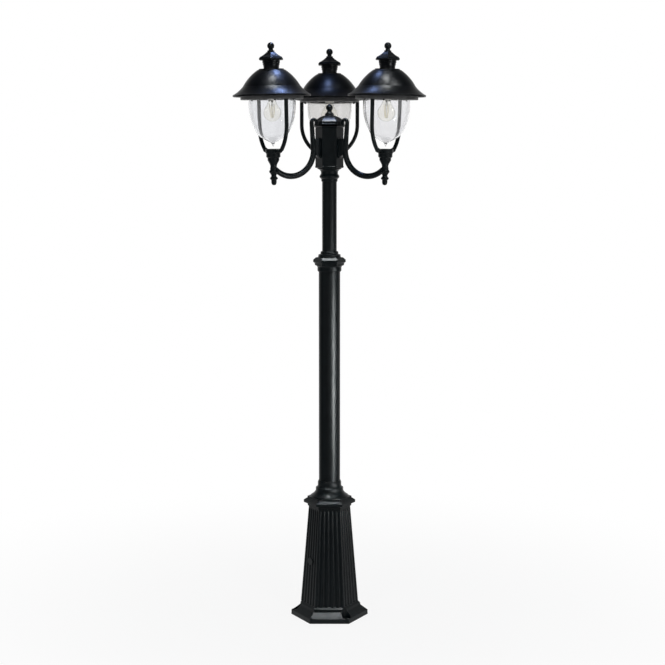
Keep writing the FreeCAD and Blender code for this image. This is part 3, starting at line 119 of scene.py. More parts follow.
def start_group(title, inputs, outputs):
    """A node group with named sockets: returns its tree, its input node and its output node."""
    tree = bpy.data.node_groups.new(title, "ShaderNodeTree")
    for name, kind, start in inputs:
        socket = tree.interface.new_socket(name, in_out="INPUT", socket_type=kind)
        if start is not None:
            socket.default_value = start
    for name, kind in outputs:
        tree.interface.new_socket(name, in_out="OUTPUT", socket_type=kind)
    return tree, tree.nodes.new("NodeGroupInput"), tree.nodes.new("NodeGroupOutput")


NUMBER = "NodeSocketFloat"
VECTOR = "NodeSocketVector"
print("groups will take sockets of the kinds", NUMBER, "and", VECTOR)

# %% [markdown]
# ## Powder coat
# Powder coat is a plastic paint baked on as dust. It flows out into a skin with a very fine
# orange peel, about a millimetre from crest to crest, over the slower waviness of the casting or
# tube below. A texture picture would repeat and would need unwrapping, so both are made from noise
# in the piece's own coordinates, where one metre in the node is one metre on the post.


# %% A group for the skin of baked powder
def powder_skin_group():
    """Fine noise gives the peel, slow noise the casting's waves; height is their weighted sum."""
    inputs = [("Place", VECTOR, None), ("Peel Scale", NUMBER, 900.0), ("Wave Scale", NUMBER, 60.0)]
    inputs += [("Wave Share", NUMBER, 0.5)]
    tree, start, end = start_group("powder_skin", inputs, [("Height", NUMBER), ("Mottle", NUMBER)])
    peel = add(tree, "ShaderNodeTexNoise", {"Detail": 2.0, "Roughness": 0.5})
    wave = add(tree, "ShaderNodeTexNoise", {"Detail": 3.0, "Roughness": 0.55})
    join(
        tree,
        (start.outputs["Place"], peel.inputs["Vector"]),
        (start.outputs["Place"], wave.inputs["Vector"]),
        (start.outputs["Peel Scale"], peel.inputs["Scale"]),
        (start.outputs["Wave Scale"], wave.inputs["Scale"]),
    )
    weighted = maths(tree, "MULTIPLY", wave.outputs[0], start.outputs["Wave Share"])
    join(tree, (maths(tree, "ADD", peel.outputs[0], weighted), end.inputs["Height"]))
    join(tree, (spread(tree, wave.outputs[0], 0.3, 0.7), end.inputs["Mottle"]))
    return tree


powder_skin = powder_skin_group()
print("powder_skin has", len(powder_skin.nodes), "nodes")

# %% [markdown]
# ## A little dust
# Even a new post has a film of dust where the surface looks up at the sky, and none on walls.
# The group compares the surface's normal with straight up, and breaks the film with noise.


# %% A group for dust
def settled_dust_group():
    """Mask = how far the normal points up, smoothed, times blotchy noise, times the amount."""
    inputs = [("Place", VECTOR, None), ("Normal", VECTOR, None), ("Amount", NUMBER, 0.2)]
    tree, start, end = start_group("settled_dust", inputs, [("Mask", NUMBER)])
    upward = add(tree, "ShaderNodeSeparateXYZ")
    blotch = add(tree, "ShaderNodeTexNoise", {"Scale": 38.0, "Detail": 6.0, "Roughness": 0.62})
    join(
        tree,
        (start.outputs["Normal"], upward.inputs[0]),
        (start.outputs["Place"], blotch.inputs["Vector"]),
    )
    facing = spread(tree, upward.outputs["Z"], 0.55, 1.0)
    broken = spread(tree, blotch.outputs[0], 0.35, 0.7)
    film = maths(tree, "MULTIPLY", facing, broken)
    join(tree, (maths(tree, "MULTIPLY", film, start.outputs["Amount"]), end.inputs["Mask"]))
    return tree


settled_dust = settled_dust_group()
print("settled_dust has", len(settled_dust.nodes), "nodes")

# %% [markdown]
# ## Soft edges
# No edge of a casting is sharp: the pattern, the sand and then the coat all round it a little, and
# that narrow round catches the light as a bright line. Rounding every edge in the mesh would cost
# thousands of faces, so the group bends the shading normal near each edge instead, and adds the
# coat's bump on top of it.


# %% A group for soft edges
def soft_edges_group():
    """Normal = the mean surface direction within a radius of the point, bumped by the height."""
    inputs = [("Height", NUMBER, None), ("Radius", NUMBER, 0.0015), ("Depth", NUMBER, 0.0001)]
    tree, start, end = start_group("soft_edges", inputs, [("Normal", VECTOR)])
    rounded = add(tree, "ShaderNodeBevel", samples=4)
    bump = add(tree, "ShaderNodeBump", {"Strength": 0.6})
    join(
        tree,
        (start.outputs["Radius"], rounded.inputs["Radius"]),
        (rounded.outputs[0], bump.inputs["Normal"]),
        (start.outputs["Height"], bump.inputs["Height"]),
        (start.outputs["Depth"], bump.inputs["Distance"]),
        (bump.outputs[0], end.inputs["Normal"]),
    )
    return tree


soft_edges = soft_edges_group()
print("soft_edges has", len(soft_edges.nodes), "nodes")

# %% [markdown]
# ## Rings left by spinning
# A hood is spun: a flat disc is pressed against a turning former with a roller, and the roller
# leaves faint rings round the axis that the coat doesn't quite fill. The group measures how far a
# point is from the lantern's axis and how high it is, and reads noise along that line only, so the
# pattern is the same all the way round.


# %% A group for spun rings
def spun_rings_group():
    """Height = one-dimensional noise of the distance from the axis plus half the height."""
    inputs = [("Place", VECTOR, None), ("Ring Scale", NUMBER, 220.0)]
    tree, start, end = start_group("spun_rings", inputs, [("Height", NUMBER)])
    parts = add(tree, "ShaderNodeSeparateXYZ")
    flat = add(tree, "ShaderNodeCombineXYZ")
    reach = add(tree, "ShaderNodeVectorMath", operation="LENGTH")
    rings = add(tree, "ShaderNodeTexNoise", {"Detail": 1.0}, noise_dimensions="1D")
    join(
        tree,
        (start.outputs["Place"], parts.inputs[0]),
        (parts.outputs["X"], flat.inputs["X"]),
        (parts.outputs["Y"], flat.inputs["Y"]),
        (flat.outputs[0], reach.inputs[0]),
        (start.outputs["Ring Scale"], rings.inputs["Scale"]),
    )
    half_height = maths(tree, "MULTIPLY", parts.outputs["Z"], 0.5)
    join(tree, (maths(tree, "ADD", reach.outputs["Value"], half_height), rings.inputs["W"]))
    join(tree, (rings.outputs[0], end.inputs["Height"]))
    return tree


spun_rings = spun_rings_group()
print("spun_rings has", len(spun_rings.nodes), "nodes")

# %% [markdown]
# ## Starting a finish
# Every finish begins alike: a material with one all-round shader, its plain constants set on the
# shader's own sockets, and the place on the piece as coordinates. Most of them then blend two close
# tones by a mask, because no real surface has one flat colour. Both steps are written down once.


# %% Start a finish
def start_finish(title, constants):
    """A new material with a Principled shader, its constants and the place on the piece."""
    material = bpy.data.materials.new(title)
    material.use_nodes = True
    tree = material.node_tree
    shader = tree.nodes["Principled BSDF"]
    for socket, value in constants.items():
        shader.inputs[socket].default_value = value
    place = add(tree, "ShaderNodeTexCoord")
    return material, tree, shader, place


FIRST_TONE, SECOND_TONE, BLENDED_TONE = 6, 7, 2  # a Mix node's sockets for colour


def blend_colours(tree, mask, first, second):
    """A colour that goes from the first to the second as the mask goes from 0 to 1."""
    node = add(tree, "ShaderNodeMix", data_type="RGBA")
    node.inputs[SECOND_TONE].default_value = (*second, 1.0)
    if isinstance(first, tuple):
        node.inputs[FIRST_TONE].default_value = (*first, 1.0)
    else:
        tree.links.new(first, node.inputs[FIRST_TONE])
    tree.links.new(mask, node.inputs[0])
    return node.outputs[BLENDED_TONE]


print("start_finish and blend_colours are ready")

# %% [markdown]
# ## Where the lanterns stand
# The three lanterns stand at equal angles, one behind and two towards the front, and each leans
# outwards by a degree or so. Their rings and turned pieces all follow that leaning axis, so it is
# worked out once, from the acorn tip's place in the solid model.

# %% Where the lanterns stand
SIDES = {"rear": 90.0, "left": 210.0, "right": 330.0}
LEAN = math.radians(1.26)
ACORN_TIP = (0.2564, 1.8125)  # distance from the pole's axis and height, in metres


def lantern_frame(azimuth):
    """The acorn's tip and three unit directions: outwards, sideways and up the leaning axis."""
    turn = math.radians(azimuth)
    out = np.array([math.cos(turn), math.sin(turn), 0.0])
    side = np.array([-math.sin(turn), math.cos(turn), 0.0])
    up = math.sin(LEAN) * out + np.array([0.0, 0.0, math.cos(LEAN)])
    tip = ACORN_TIP[0] * out + np.array([0.0, 0.0, ACORN_TIP[1]])
    return tip, np.cross(side, up), side, up


for side, azimuth in SIDES.items():
    print(side, "lantern stands over", lantern_frame(azimuth)[0][:2].round(4))

# %% [markdown]
# ## Black satin coat, in three builds
# The castings, the tubes and the spun sheet hoods have the same black coat. Under it the castings
# wave most, the tubes hardly, and the hoods keep their rings. Black paint is never quite black: the
# castings lean a little to green, the hoods to blue, as they do in the photograph. Each could be a
# finish of its own, but one function that places the same groups with other values keeps them one
# family. The gallery rings get a paler coat, because the photograph shows them dark grey. That grey
# is painted light: it stands in for the light from the floor and backdrop that the rings catch.

# %% The coated finishes
SHINE = 0.22  # weaker than bare plastic: the satin coat hardly mirrors
DUST_AMOUNT, DUST_TONE = 0.006, (0.1, 0.098, 0.095)
LIGHTER = 1.4  # how much lighter the second tone of black is than the first
# The surface under the coat: waves per metre, their share in the bump, and its depth in metres
CASTING, TUBE, SPINNING = (55.0, 2.5, 0.0001), (25.0, 0.6, 0.00004), (30.0, 0.8, 0.00004)


def coated(title, black, roughness, build, edge, ring_axis=None):
    """Black coat: two near-black tones by the mottle, a film of dust, peel and waves as bump."""
    material, tree, shader, place = start_finish(title, {"Specular IOR Level": SHINE})
    waves = {"Wave Scale": build[0], "Wave Share": build[1]}
    powder = add(tree, "ShaderNodeGroup", waves, node_tree=powder_skin)
    film = add(tree, "ShaderNodeGroup", {"Amount": DUST_AMOUNT}, node_tree=settled_dust)
    rounding = {"Radius": edge, "Depth": build[2]}
    edges = add(tree, "ShaderNodeGroup", rounding, node_tree=soft_edges)
    height = powder.outputs["Height"]
    if ring_axis is not None:
        shift = {"Location": (-ring_axis[0], -ring_axis[1], 0.0)}
        centred = add(tree, "ShaderNodeMapping", shift)
        rings = add(tree, "ShaderNodeGroup", node_tree=spun_rings)
        join(tree, (place.outputs["Object"], centred.inputs["Vector"]))
        join(tree, (centred.outputs[0], rings.inputs["Place"]))
        height = maths(tree, "ADD", height, rings.outputs["Height"])
    join(
        tree,
        (place.outputs["Object"], powder.inputs["Place"]),
        (place.outputs["Object"], film.inputs["Place"]),
        (place.outputs["Normal"], film.inputs["Normal"]),
        (height, edges.inputs["Height"]),
        (edges.outputs["Normal"], shader.inputs["Normal"]),
    )
    mottle = powder.outputs["Mottle"]
    tone = blend_colours(tree, mottle, black, tuple(LIGHTER * part for part in black))
    dusty = blend_colours(tree, film.outputs["Mask"], tone, DUST_TONE)
    varied = spread(tree, mottle, 0.0, 1.0, roughness - 0.02, roughness + 0.03)
    rough = maths(tree, "ADD", varied, film.outputs["Mask"])
    join(tree, (dusty, shader.inputs["Base Color"]), (rough, shader.inputs["Roughness"]))
    return material


cast_coat = coated("satin_coat_on_casting", (0.0016, 0.0044, 0.0056), 0.38, CASTING, 0.0018)
tube_coat = coated("satin_coat_on_tube", (0.0013, 0.0036, 0.0046), 0.4, TUBE, 0.0005)
hood_coats = {}
for side, azimuth in SIDES.items():
    title = "satin_coat_on_" + side + "_spinning"
    hood_axis = lantern_frame(azimuth)[0]
    hood_coats[side] = coated(title, (0.0015, 0.0022, 0.0034), 0.35, SPINNING, 0.001, hood_axis)
# The gallery coat's dark grey base colour is painted light, standing in for light from the floor
# and backdrop.
gallery_coat_painted_lighter = coated("gallery_coat_with_painted_floor_light", (0.075, 0.075, 0.074), 0.42, CASTING, 0.0012)
for coat in (cast_coat, tube_coat, gallery_coat_painted_lighter, *hood_coats.values()):
    print(coat.name, "has", len(coat.node_tree.nodes), "nodes")

# %% [markdown]
# ## Plain metals
# The gallery's clips are blackened steel. The centre rods, grub screws and bolts are zinc plated,
# with the drawn grain of bar stock. The bulb's screw cap is pressed from thin bright sheet. All of
# them are metal under a noise that shifts their roughness, which is what the eye reads as handling.
# Scratches could be drawn one by one, but at this size a stretched noise looks the same.

# %% Metal finishes
BAR_GRAIN, SHEET_GRAIN = (400.0, 400.0, 60.0), (90.0, 90.0, 20.0)  # grains per metre


def metal(title, light, dark, roughness, grain=BAR_GRAIN):
    """Metal whose tone and roughness follow noise stretched along the piece's height."""
    material, tree, shader, place = start_finish(title, {"Metallic": 1.0})
    stretch = add(tree, "ShaderNodeMapping", {"Scale": grain})
    noise = add(tree, "ShaderNodeTexNoise", {"Scale": 1.0, "Detail": 4.0})
    bump = add(tree, "ShaderNodeBump", {"Strength": 0.3, "Distance": 0.0002})
    join(
        tree,
        (place.outputs["Object"], stretch.inputs["Vector"]),
        (stretch.outputs["Vector"], noise.inputs["Vector"]),
        (noise.outputs[0], bump.inputs["Height"]),
        (bump.outputs["Normal"], shader.inputs["Normal"]),
    )
    mottle = spread(tree, noise.outputs[0], 0.3, 0.7)
    join(tree, (blend_colours(tree, mottle, light, dark), shader.inputs["Base Color"]))
    spread_rough = spread(tree, noise.outputs[0], 0.3, 0.7, roughness - 0.06, roughness + 0.08)
    join(tree, (spread_rough, shader.inputs["Roughness"]))
    return material


blackened_steel = metal("blackened_steel", (0.03, 0.03, 0.032), (0.018, 0.018, 0.02), 0.42)
zinc_plate = metal("zinc_plate", (0.48, 0.49, 0.5), (0.36, 0.37, 0.38), 0.36)
cap_metal = metal("pressed_cap_metal", (0.66, 0.65, 0.63), (0.52, 0.51, 0.5), 0.28, SHEET_GRAIN)
print("metals:", blackened_steel.name, zinc_plate.name, cap_metal.name)

# %% [markdown]
# ## Glass
# The bowl is blown glass about three millimetres thick and the bulb's globe is under one. Both are
# true solids with an inner and an outer wall, so a plain glass shader bends light as the real walls
# do. Blown glass is never quite even: slow noise in the bump makes the view through it swim a
# little. How much the glass bends light, and each bowl's tint, were set by comparing pictures with
# the photograph. The three bowls are one glass, so the way their tints differ is painted light and
# shade: painted shade on the rear bowl, which is darker and warmer, and painted light on the front
# two, which are paler and a little bluer.


# %% Glass finishes
def glass(title, tint, bending, wave_scale, wave_depth, haze=0.02, clearness=1.0):
    """Clear glass whose walls wave slowly: noise on the bump alone, and a faint tint in patches."""
    constants = {"Metallic": 0.0, "Transmission Weight": clearness, "IOR": bending}
    material, tree, shader, place = start_finish(title, constants)
    wave = add(tree, "ShaderNodeTexNoise", {"Scale": wave_scale, "Detail": 1.0})
    smear = add(tree, "ShaderNodeTexNoise", {"Scale": 2.0 * wave_scale, "Detail": 3.0})
    bump = add(tree, "ShaderNodeBump", {"Strength": 0.5, "Distance": wave_depth})
    join(
        tree,
        (place.outputs["Object"], wave.inputs["Vector"]),
        (place.outputs["Object"], smear.inputs["Vector"]),
        (wave.outputs[0], bump.inputs["Height"]),
        (bump.outputs["Normal"], shader.inputs["Normal"]),
    )
    patches = spread(tree, smear.outputs[0], 0.35, 0.75)
    greyer = tuple(0.975 * part for part in tint)
    join(tree, (blend_colours(tree, patches, tint, greyer), shader.inputs["Base Color"]))
    join(tree, (spread(tree, smear.outputs[0], 0.5, 0.9, 0.0, haze), shader.inputs["Roughness"]))
    return material


# One glass for all three bowls: the rear bowl's darker tint is painted shade, the front bowls'
# paler, bluer tints are painted light.
BOWL_TINTS_WITH_PAINTED_LIGHT_AND_SHADE = {
    "rear": (0.875, 0.868, 0.86),
    "left": (0.955, 0.96, 0.975),
    "right": (0.97, 0.97, 0.98),
}
BLOWN = {"bending": 1.38, "wave_scale": 14.0, "wave_depth": 0.0006, "clearness": 0.95}
THIN = {"bending": 1.12, "wave_scale": 30.0, "wave_depth": 0.0001, "haze": 0.0}
PRESSED = {"bending": 1.3, "wave_scale": 60.0, "wave_depth": 0.0001, "haze": 0.0}
bowl_glasses = {}
# Each lantern's bowl gets its own tint, and the differences between them are painted light and
# shade.
for side, tint in BOWL_TINTS_WITH_PAINTED_LIGHT_AND_SHADE.items():
    bowl_glasses[side] = glass(side + "_bowl_glass", tint, **BLOWN)
    print(bowl_glasses[side].name, "is tinted", tint)
globe_glass = glass("thin_globe_glass", (0.985, 0.98, 0.95), **THIN)
stem_glass = glass("pressed_stem_glass", (0.96, 0.965, 0.95), **PRESSED)
print("the bulb's glasses:", globe_glass.name, stem_glass.name)

# %% [markdown]
# ## Rubber, porcelain, nylon and the filament sticks
# The gallery's gasket is matt rubber, the lampholder is glazed porcelain, the terminal block is
# natural nylon, and the bulb's filament sticks are coated in yellow phosphor, which is what the
# photograph shows inside the clear globe. They are unlit by day, so nothing here glows. One recipe
# serves all five: two close tones and a fine bump from one noise, and a glaze where there is one.


# %% Soft and glazed finishes
def plain_body(title, light, dark, roughness, speckle, depth, coat=0.0):
    """Two close tones and a bump from the same noise, with a glaze where the coat is above zero."""
    constants = {"Coat Weight": coat, "Coat Roughness": 0.08, "Specular IOR Level": 0.5}
    material, tree, shader, place = start_finish(title, constants)
    noise = add(tree, "ShaderNodeTexNoise", {"Scale": speckle, "Detail": 3.0})
    bump = add(tree, "ShaderNodeBump", {"Strength": 0.4, "Distance": depth})
    join(
        tree,
        (place.outputs["Object"], noise.inputs["Vector"]),
        (noise.outputs[0], bump.inputs["Height"]),
        (bump.outputs["Normal"], shader.inputs["Normal"]),
    )
    mottle = spread(tree, noise.outputs[0], 0.35, 0.65)
    join(tree, (blend_colours(tree, mottle, light, dark), shader.inputs["Base Color"]))
    varied = spread(tree, noise.outputs[0], 0.3, 0.7, roughness - 0.05, roughness + 0.05)
    join(tree, (varied, shader.inputs["Roughness"]))
    return material


# Name, light and dark tone, roughness, grains per metre, depth of the bump, and glaze
PLAIN_BODIES = [
    ("matt_gasket_rubber", (0.026, 0.026, 0.026), (0.017, 0.017, 0.017), 0.75, 500.0, 0.0004),
    ("glazed_porcelain", (0.8, 0.79, 0.75), (0.76, 0.75, 0.71), 0.3, 80.0, 0.0001, 0.8),
    ("natural_nylon", (0.72, 0.71, 0.67), (0.66, 0.65, 0.6), 0.5, 200.0, 0.0002),
    ("phosphor_sticks", (0.9, 0.8, 0.5), (0.86, 0.72, 0.4), 0.45, 700.0, 0.0001),
    ("black_cap_glass", (0.01, 0.01, 0.012), (0.006, 0.006, 0.007), 0.2, 120.0, 0.0001, 0.6),
]
rubber, porcelain, nylon, phosphor, cap_glass = [plain_body(*row) for row in PLAIN_BODIES]
print(len(PLAIN_BODIES), "more finishes made")

# %% [markdown]
# ## Dressing the solid pieces
# The record names the material slot of every solid piece, so one table from slot to finish is
# enough to dress all of them, and no piece can be missed.

# %% Give each solid piece its finish
FINISH = {
    "coated_casting": cast_coat,
    "coated_tube": tube_coat,
    "coated_hood": hood_coats,
    "coated_fixings": blackened_steel,
    "steel_fixings": zinc_plate,
    "gasket_rubber": rubber,
    "clear_glass": bowl_glasses,
    "bulb_glass": globe_glass,
    "bulb_cap_metal": cap_metal,
    "filament": phosphor,
    "holder_white": porcelain,
    "terminal_plastic": nylon,
}
for name, piece in nodes.items():
    finish = FINISH[slot_of[name]]
    if isinstance(finish, dict):
        finish = finish[name.split("_")[0]]
    # The gallery rings take the coat whose paler grey is painted light.
    if name.endswith("gallery_ring"):
        finish = gallery_coat_painted_lighter
    piece.data.materials.clear()
    piece.data.materials.append(finish)
print(len(nodes), "pieces dressed from", len(FINISH), "kinds of finish")

# %% [markdown]
# ## Surfaces worked out as arrays
# The pieces below could be built up from ready-made tubes and balls, but their outlines would then
# be only nearly right. Instead they are all skins: rows of points, each row a closed ring, and the
# rings follow one another along an axis or a path. Faces join each ring to the next, and a fan
# closes each end. The volume that a closed skin encloses comes out negative when its faces look
# inwards, and then every face is turned round.


# %% From rings to a skin
def skin(rings):
    """Points, walls and fans of closed rings. Volume = a sixth of the sum of a . (b x c)."""
    rows, columns = rings.shape[:2]
    around = np.arange(columns)
    after = (around + 1) % columns
    row_starts = np.arange(rows - 1)[:, None] * columns
    low, step = (row_starts + around).ravel(), (row_starts + after).ravel()
    walls = np.stack([low, step, step + columns, low + columns], 1)
    last, foot = (rows - 1) * columns, np.full(columns, rows * columns)
    foot_fan = np.stack([foot, after, around], 1)
    head_fan = np.stack([foot + 1, last + around, last + after], 1)
    fans = np.concatenate([foot_fan, head_fan])
    points = np.concatenate([rings.reshape(-1, 3), [rings[0].mean(0), rings[-1].mean(0)]])
    split = np.concatenate([walls[:, :3], walls[:, [0, 2, 3]], fans])
    a, b, c = (points[split[:, corner]] - points.mean(0) for corner in range(3))
    if (a * np.cross(b, c)).sum() < 0:
        walls, fans = walls[:, ::-1], fans[:, ::-1]
    return points, walls, fans


def make_piece(name, skins, finish, body, stands_for=(), crease=40.0):
    """One object from several skins, smooth except where faces meet above the crease angle."""
    points, faces, count = [], [], 0
    for some_points, walls, fans in skins:
        points.append(some_points)
        faces += (walls + count).tolist() + (fans + count).tolist()
        count += len(some_points)
    mesh = bpy.data.meshes.new(name)
    mesh.from_pydata(np.concatenate(points).tolist(), [], faces)
    mesh.polygons.foreach_set("use_smooth", np.ones(len(faces), bool))
    mesh.set_sharp_from_angle(angle=math.radians(crease))
    mesh.materials.append(finish)
    piece = bpy.data.objects.new(name, mesh)
    bpy.context.scene.collection.objects.link(piece)
    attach(piece, body)
    if stands_for:
        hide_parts(*stands_for)
    return piece


print("skin and make_piece are ready")

# %% [markdown]
# ## Lines, arcs and rings
# A turned piece, such as a knob or a bulb, is one outline carried round an axis, and a bent limb is
# a circle carried along a path. Outlines could be splines through measured points, but those
# bulge between them. A maker's drawing has straight lines and arcs, and so have the outlines here.


# %% Lines, arcs and rings
def line(start, end, count=2):
    """Evenly spaced points from the start to the end."""
    return np.linspace(start, end, count)


def arc(start, end, radius, count=16):
    """Points on an arc that turns left, or right where the radius is negative.

    Its centre lies off the chord's middle by the root of radius^2 - (half the chord)^2.
    """
    a, b = np.array(start, float), np.array(end, float)
    chord = b - a
    length = np.hypot(*chord)
    left = np.array([-chord[1], chord[0]]) / length * math.copysign(1.0, radius)
    centre = (a + b) / 2 + left * math.sqrt(max(radius**2 - length**2 / 4, 0.0))
    first = math.atan2(*(a - centre)[::-1])
    sweep = math.copysign(2 * math.asin(min(length / 2 / abs(radius), 1.0)), radius)
    angles = first + sweep * np.linspace(0, 1, count)
    return centre + abs(radius) * np.stack([np.cos(angles), np.sin(angles)], 1)


def turned(outline, azimuth, sides=72):
    """Rings about a lantern's axis, from an outline of radii and levels in millimetres.

    Point = tip + level * up + radius * (cos * out + sin * side).
    """
    tip, out, side, up = lantern_frame(azimuth)
    angles = np.linspace(0, 2 * math.pi, sides, endpoint=False)[None, :, None]
    radius, level = (outline[:, part, None, None] / 1000 for part in (0, 1))
    return tip + level * up + radius * (np.cos(angles) * out + np.sin(angles) * side)


def swept(path, radii, across, sides=20):
    """Rings square to a path: centre + radius * (cos * (across x heading) + sin * across)."""
    heading = np.gradient(path, axis=0)
    heading /= np.linalg.norm(heading, axis=1)[:, None]
    inward = np.cross(across, heading)
    angles = np.linspace(0, 2 * math.pi, sides, endpoint=False)[None, :, None]
    spokes = np.cos(angles) * inward[:, None] + np.sin(angles) * across
    return path[:, None] + radii[:, None, None] * spokes


print("a quarter arc has", len(arc((1, 0), (0, 1), 1.0)), "points")

# %% [markdown]
# ## The arms
# Each arm is one casting: a tip that curls over beside the lid, a straight leg that leans in a
# little, a deep bow under the lantern, and a turned knuckle that carries it. A block on a plate
# holds the leg to the hub. Swept by hand from a few sections, such a limb comes out uneven where a
# bend meets the straight. Here the centre line is three exact parts, an arc, a line and an arc,
# with a ring every few millimetres, so its thickness swells as evenly as the real arm's.

# %% The arm's centre line
# Each bend's centre is a reach from the pole's axis and a height, in millimetres. The curl starts
# at an angle in degrees, and the bow ends at a reach beyond its centre.
CURL_CENTRE, CURL_BEND, CURL_START = np.array([72.0, 2063.5]), 11.5, 215.0
BOW_CENTRE, BOW_BEND, BOW_END = np.array([178.0, 1951.0]), 103.0, 70.4
CURL_RINGS, LEG_RINGS, BOW_RINGS = 40, 18, 72
TIP_HALF, LEG_HALF, BOW_HALF, BOW_SWELL, BOW_TAPER = 5.8, 8.6, 11.0, 1.0, 1.1  # half thicknesses


def bend(centre, radius, angles):
    """Points at centre + radius * (cos, sin) of each angle."""
    return centre + radius * np.stack([np.cos(angles), np.sin(angles)], 1)


def arm_centre_line():
    """Reach, height and half thickness along the arm. The leg touches both bends from inside."""
    apart = BOW_CENTRE - CURL_CENTRE
    lean = math.atan2(apart[1], apart[0]) - math.asin((CURL_BEND + BOW_BEND) / np.hypot(*apart))
    curl = np.linspace(math.radians(CURL_START), lean + math.pi / 2, CURL_RINGS)
    bow = np.linspace(lean - math.pi / 2, -math.acos(BOW_END / BOW_BEND), BOW_RINGS)
    curl_line, bow_line = bend(CURL_CENTRE, CURL_BEND, curl), bend(BOW_CENTRE, BOW_BEND, bow)
    leg_line = line(curl_line[-1], bow_line[0], LEG_RINGS)[1:-1]
    first_quarter, last_quarter = (
        np.clip(4 * (np.linspace(0, 1, BOW_RINGS) - start), 0, 1) for start in (0.0, 0.75)
    )
    curl_half = line(TIP_HALF, LEG_HALF, CURL_RINGS)
    leg_half = line(LEG_HALF, BOW_HALF, LEG_RINGS)[1:-1]
    bow_half = BOW_HALF + BOW_SWELL * first_quarter - BOW_TAPER * last_quarter
    half = np.concatenate([curl_half, leg_half, bow_half])
    return np.concatenate([curl_line, leg_line, bow_line]), half


arm_line, arm_half = arm_centre_line()
arm_length = np.linalg.norm(np.diff(arm_line, axis=0), axis=1).sum()
print("an arm is", round(arm_length), "mm long and", 2 * arm_half.max(), "mm thick at its bow")

# %% [markdown]
# ## Block, plate and knuckle
# The block and the plate are flat bodies with slightly rounded edges: each is one outline carried
# across its width, and a bevel would do the same with more faces. The knuckle is turned. All of
# them and the limb are one casting on the real post, so they are four skins of one piece here.


# %% The arms, with block, plate and knuckle
def upright(points, azimuth):
    """Points of reach and height, in millimetres, stood in the upright plane of an azimuth."""
    out = np.array([math.cos(math.radians(azimuth)), math.sin(math.radians(azimuth)), 0.0])
    return points[..., :1] / 1000 * out + points[..., 1:] / 1000 * np.array([0.0, 0.0, 1.0])


def slab(outline, half_width, azimuth, round_off=1.2):
    """An outline carried across its width: full in the middle, drawn in a little at both sides."""
    towards = outline.mean(0) - outline
    drawn_in = outline + round_off * towards / np.linalg.norm(towards, axis=1)[:, None]
    side = lantern_frame(azimuth)[2]
    rows = [(drawn_in, -half_width), (outline, round_off - half_width)]
    rows += [(outline, half_width - round_off), (drawn_in, half_width)]
    return np.stack([upright(row, azimuth) + place / 1000 * side for row, place in rows])


def round_tip(place, heading, radius):
    """Half a ball before the first ring: rings of radius * sin set back by radius * cos."""
    angles = np.radians(np.linspace(4, 86, 8))
    return place - radius * np.cos(angles)[:, None] * heading, radius * np.sin(angles)


HUB_CORNER, PLATE_DEPTH, PLATE_HALF, BLOCK_HALF = 57.2, 4, 15.5, 11.5
HUB_FACE = HUB_CORNER * math.cos(math.radians(30))
PLATE_FACE = HUB_FACE + PLATE_DEPTH
PLATE = np.array([(HUB_FACE, 1919), (PLATE_FACE, 1923), (PLATE_FACE, 1999), (HUB_FACE, 2003)])
BLOCK_TOP = line((72, 1999), (HUB_FACE, 1999))
BLOCK = np.concatenate([arc((HUB_FACE, 1924), (72, 1950), 30.0), BLOCK_TOP])
KNUCKLE = np.concatenate(
    [line((4.1, 38), (10, 38)), arc((10, 38), (18.2, 52), -30.0), line((18.2, 57.5), (14, 63))]
    + [line((14.6, 68), (12.9, 73.5)), line((12.9, 73.5), (4.1, 73.5))]
)
first_step = arm_line[1] - arm_line[0]
first_heading = first_step / np.linalg.norm(first_step)
tip_line, tip_half = round_tip(arm_line[0], first_heading, arm_half[0])
limb_line, limb_half = np.concatenate([tip_line, arm_line]), np.concatenate([tip_half, arm_half])
for side, azimuth in SIDES.items():
    sideways = lantern_frame(azimuth)[2]
    skins = [skin(swept(upright(limb_line, azimuth), limb_half / 1000, sideways, 28))]
    skins += [skin(slab(PLATE, PLATE_HALF, azimuth)), skin(slab(BLOCK, BLOCK_HALF, azimuth))]
    skins += [skin(turned(KNUCKLE, azimuth, 48))]
    title, stands_for = side + "_arm_casting", [side + "_arm"]
    arm_piece = make_piece(title, skins, cast_coat, "post", stands_for)
    print(arm_piece.name, "has", len(arm_piece.data.polygons), "faces")

# %% [markdown]
# ## Bands on hub and lid
# A narrow raised band runs round the six sides at the hub's lower edge, and another round the
# lid's eave. The top of each is a small slope, which in the photograph catches the light from above
# as one thin line across the front face. A painted line would stay bright from every side, so the
# slopes are real. A six-sided ring is a round one with its radius drawn in between the corners.


# %% Bands on hub and lid
def six_sided(outline, sides=72):
    """Rings about the pole: corner radius * cos 30 / cos(angle from the middle of a face)."""
    angles = np.linspace(0, 2 * math.pi, sides, endpoint=False)
    off_face = np.mod(angles, math.pi / 3) - math.pi / 6
    drawn = math.cos(math.pi / 6) / np.cos(off_face)
    flat = np.stack([np.cos(angles) * drawn, np.sin(angles) * drawn, np.zeros(sides)], 1)
    return (outline[:, :1, None] * flat + outline[:, 1:, None] * np.array([0.0, 0.0, 1.0])) / 1000


# Corner radius and height of each band's outline: underside, upright face and slope
FOOT = [(50, 1882.2), (58.2, 1882.2), (58.6, 1882.8), (58.6, 1886.6), (57.3, 1888.4), (50, 1888.4)]
EAVE = [(50, 2048.2), (61.9, 2048.2), (62.3, 2048.8), (62.3, 2055.4), (60.2, 2058.6), (50, 2058.6)]
for name, body, outline in (("hub_foot_band", "post", FOOT), ("lid_eave_band", "hub_lid", EAVE)):
    rings = six_sided(np.array(outline))
    band = make_piece(name, [skin(rings)], cast_coat, body, crease=20.0)
    print(name, "is", round(2 * max(corner[0] for corner in band.bound_box), 4), "m wide")

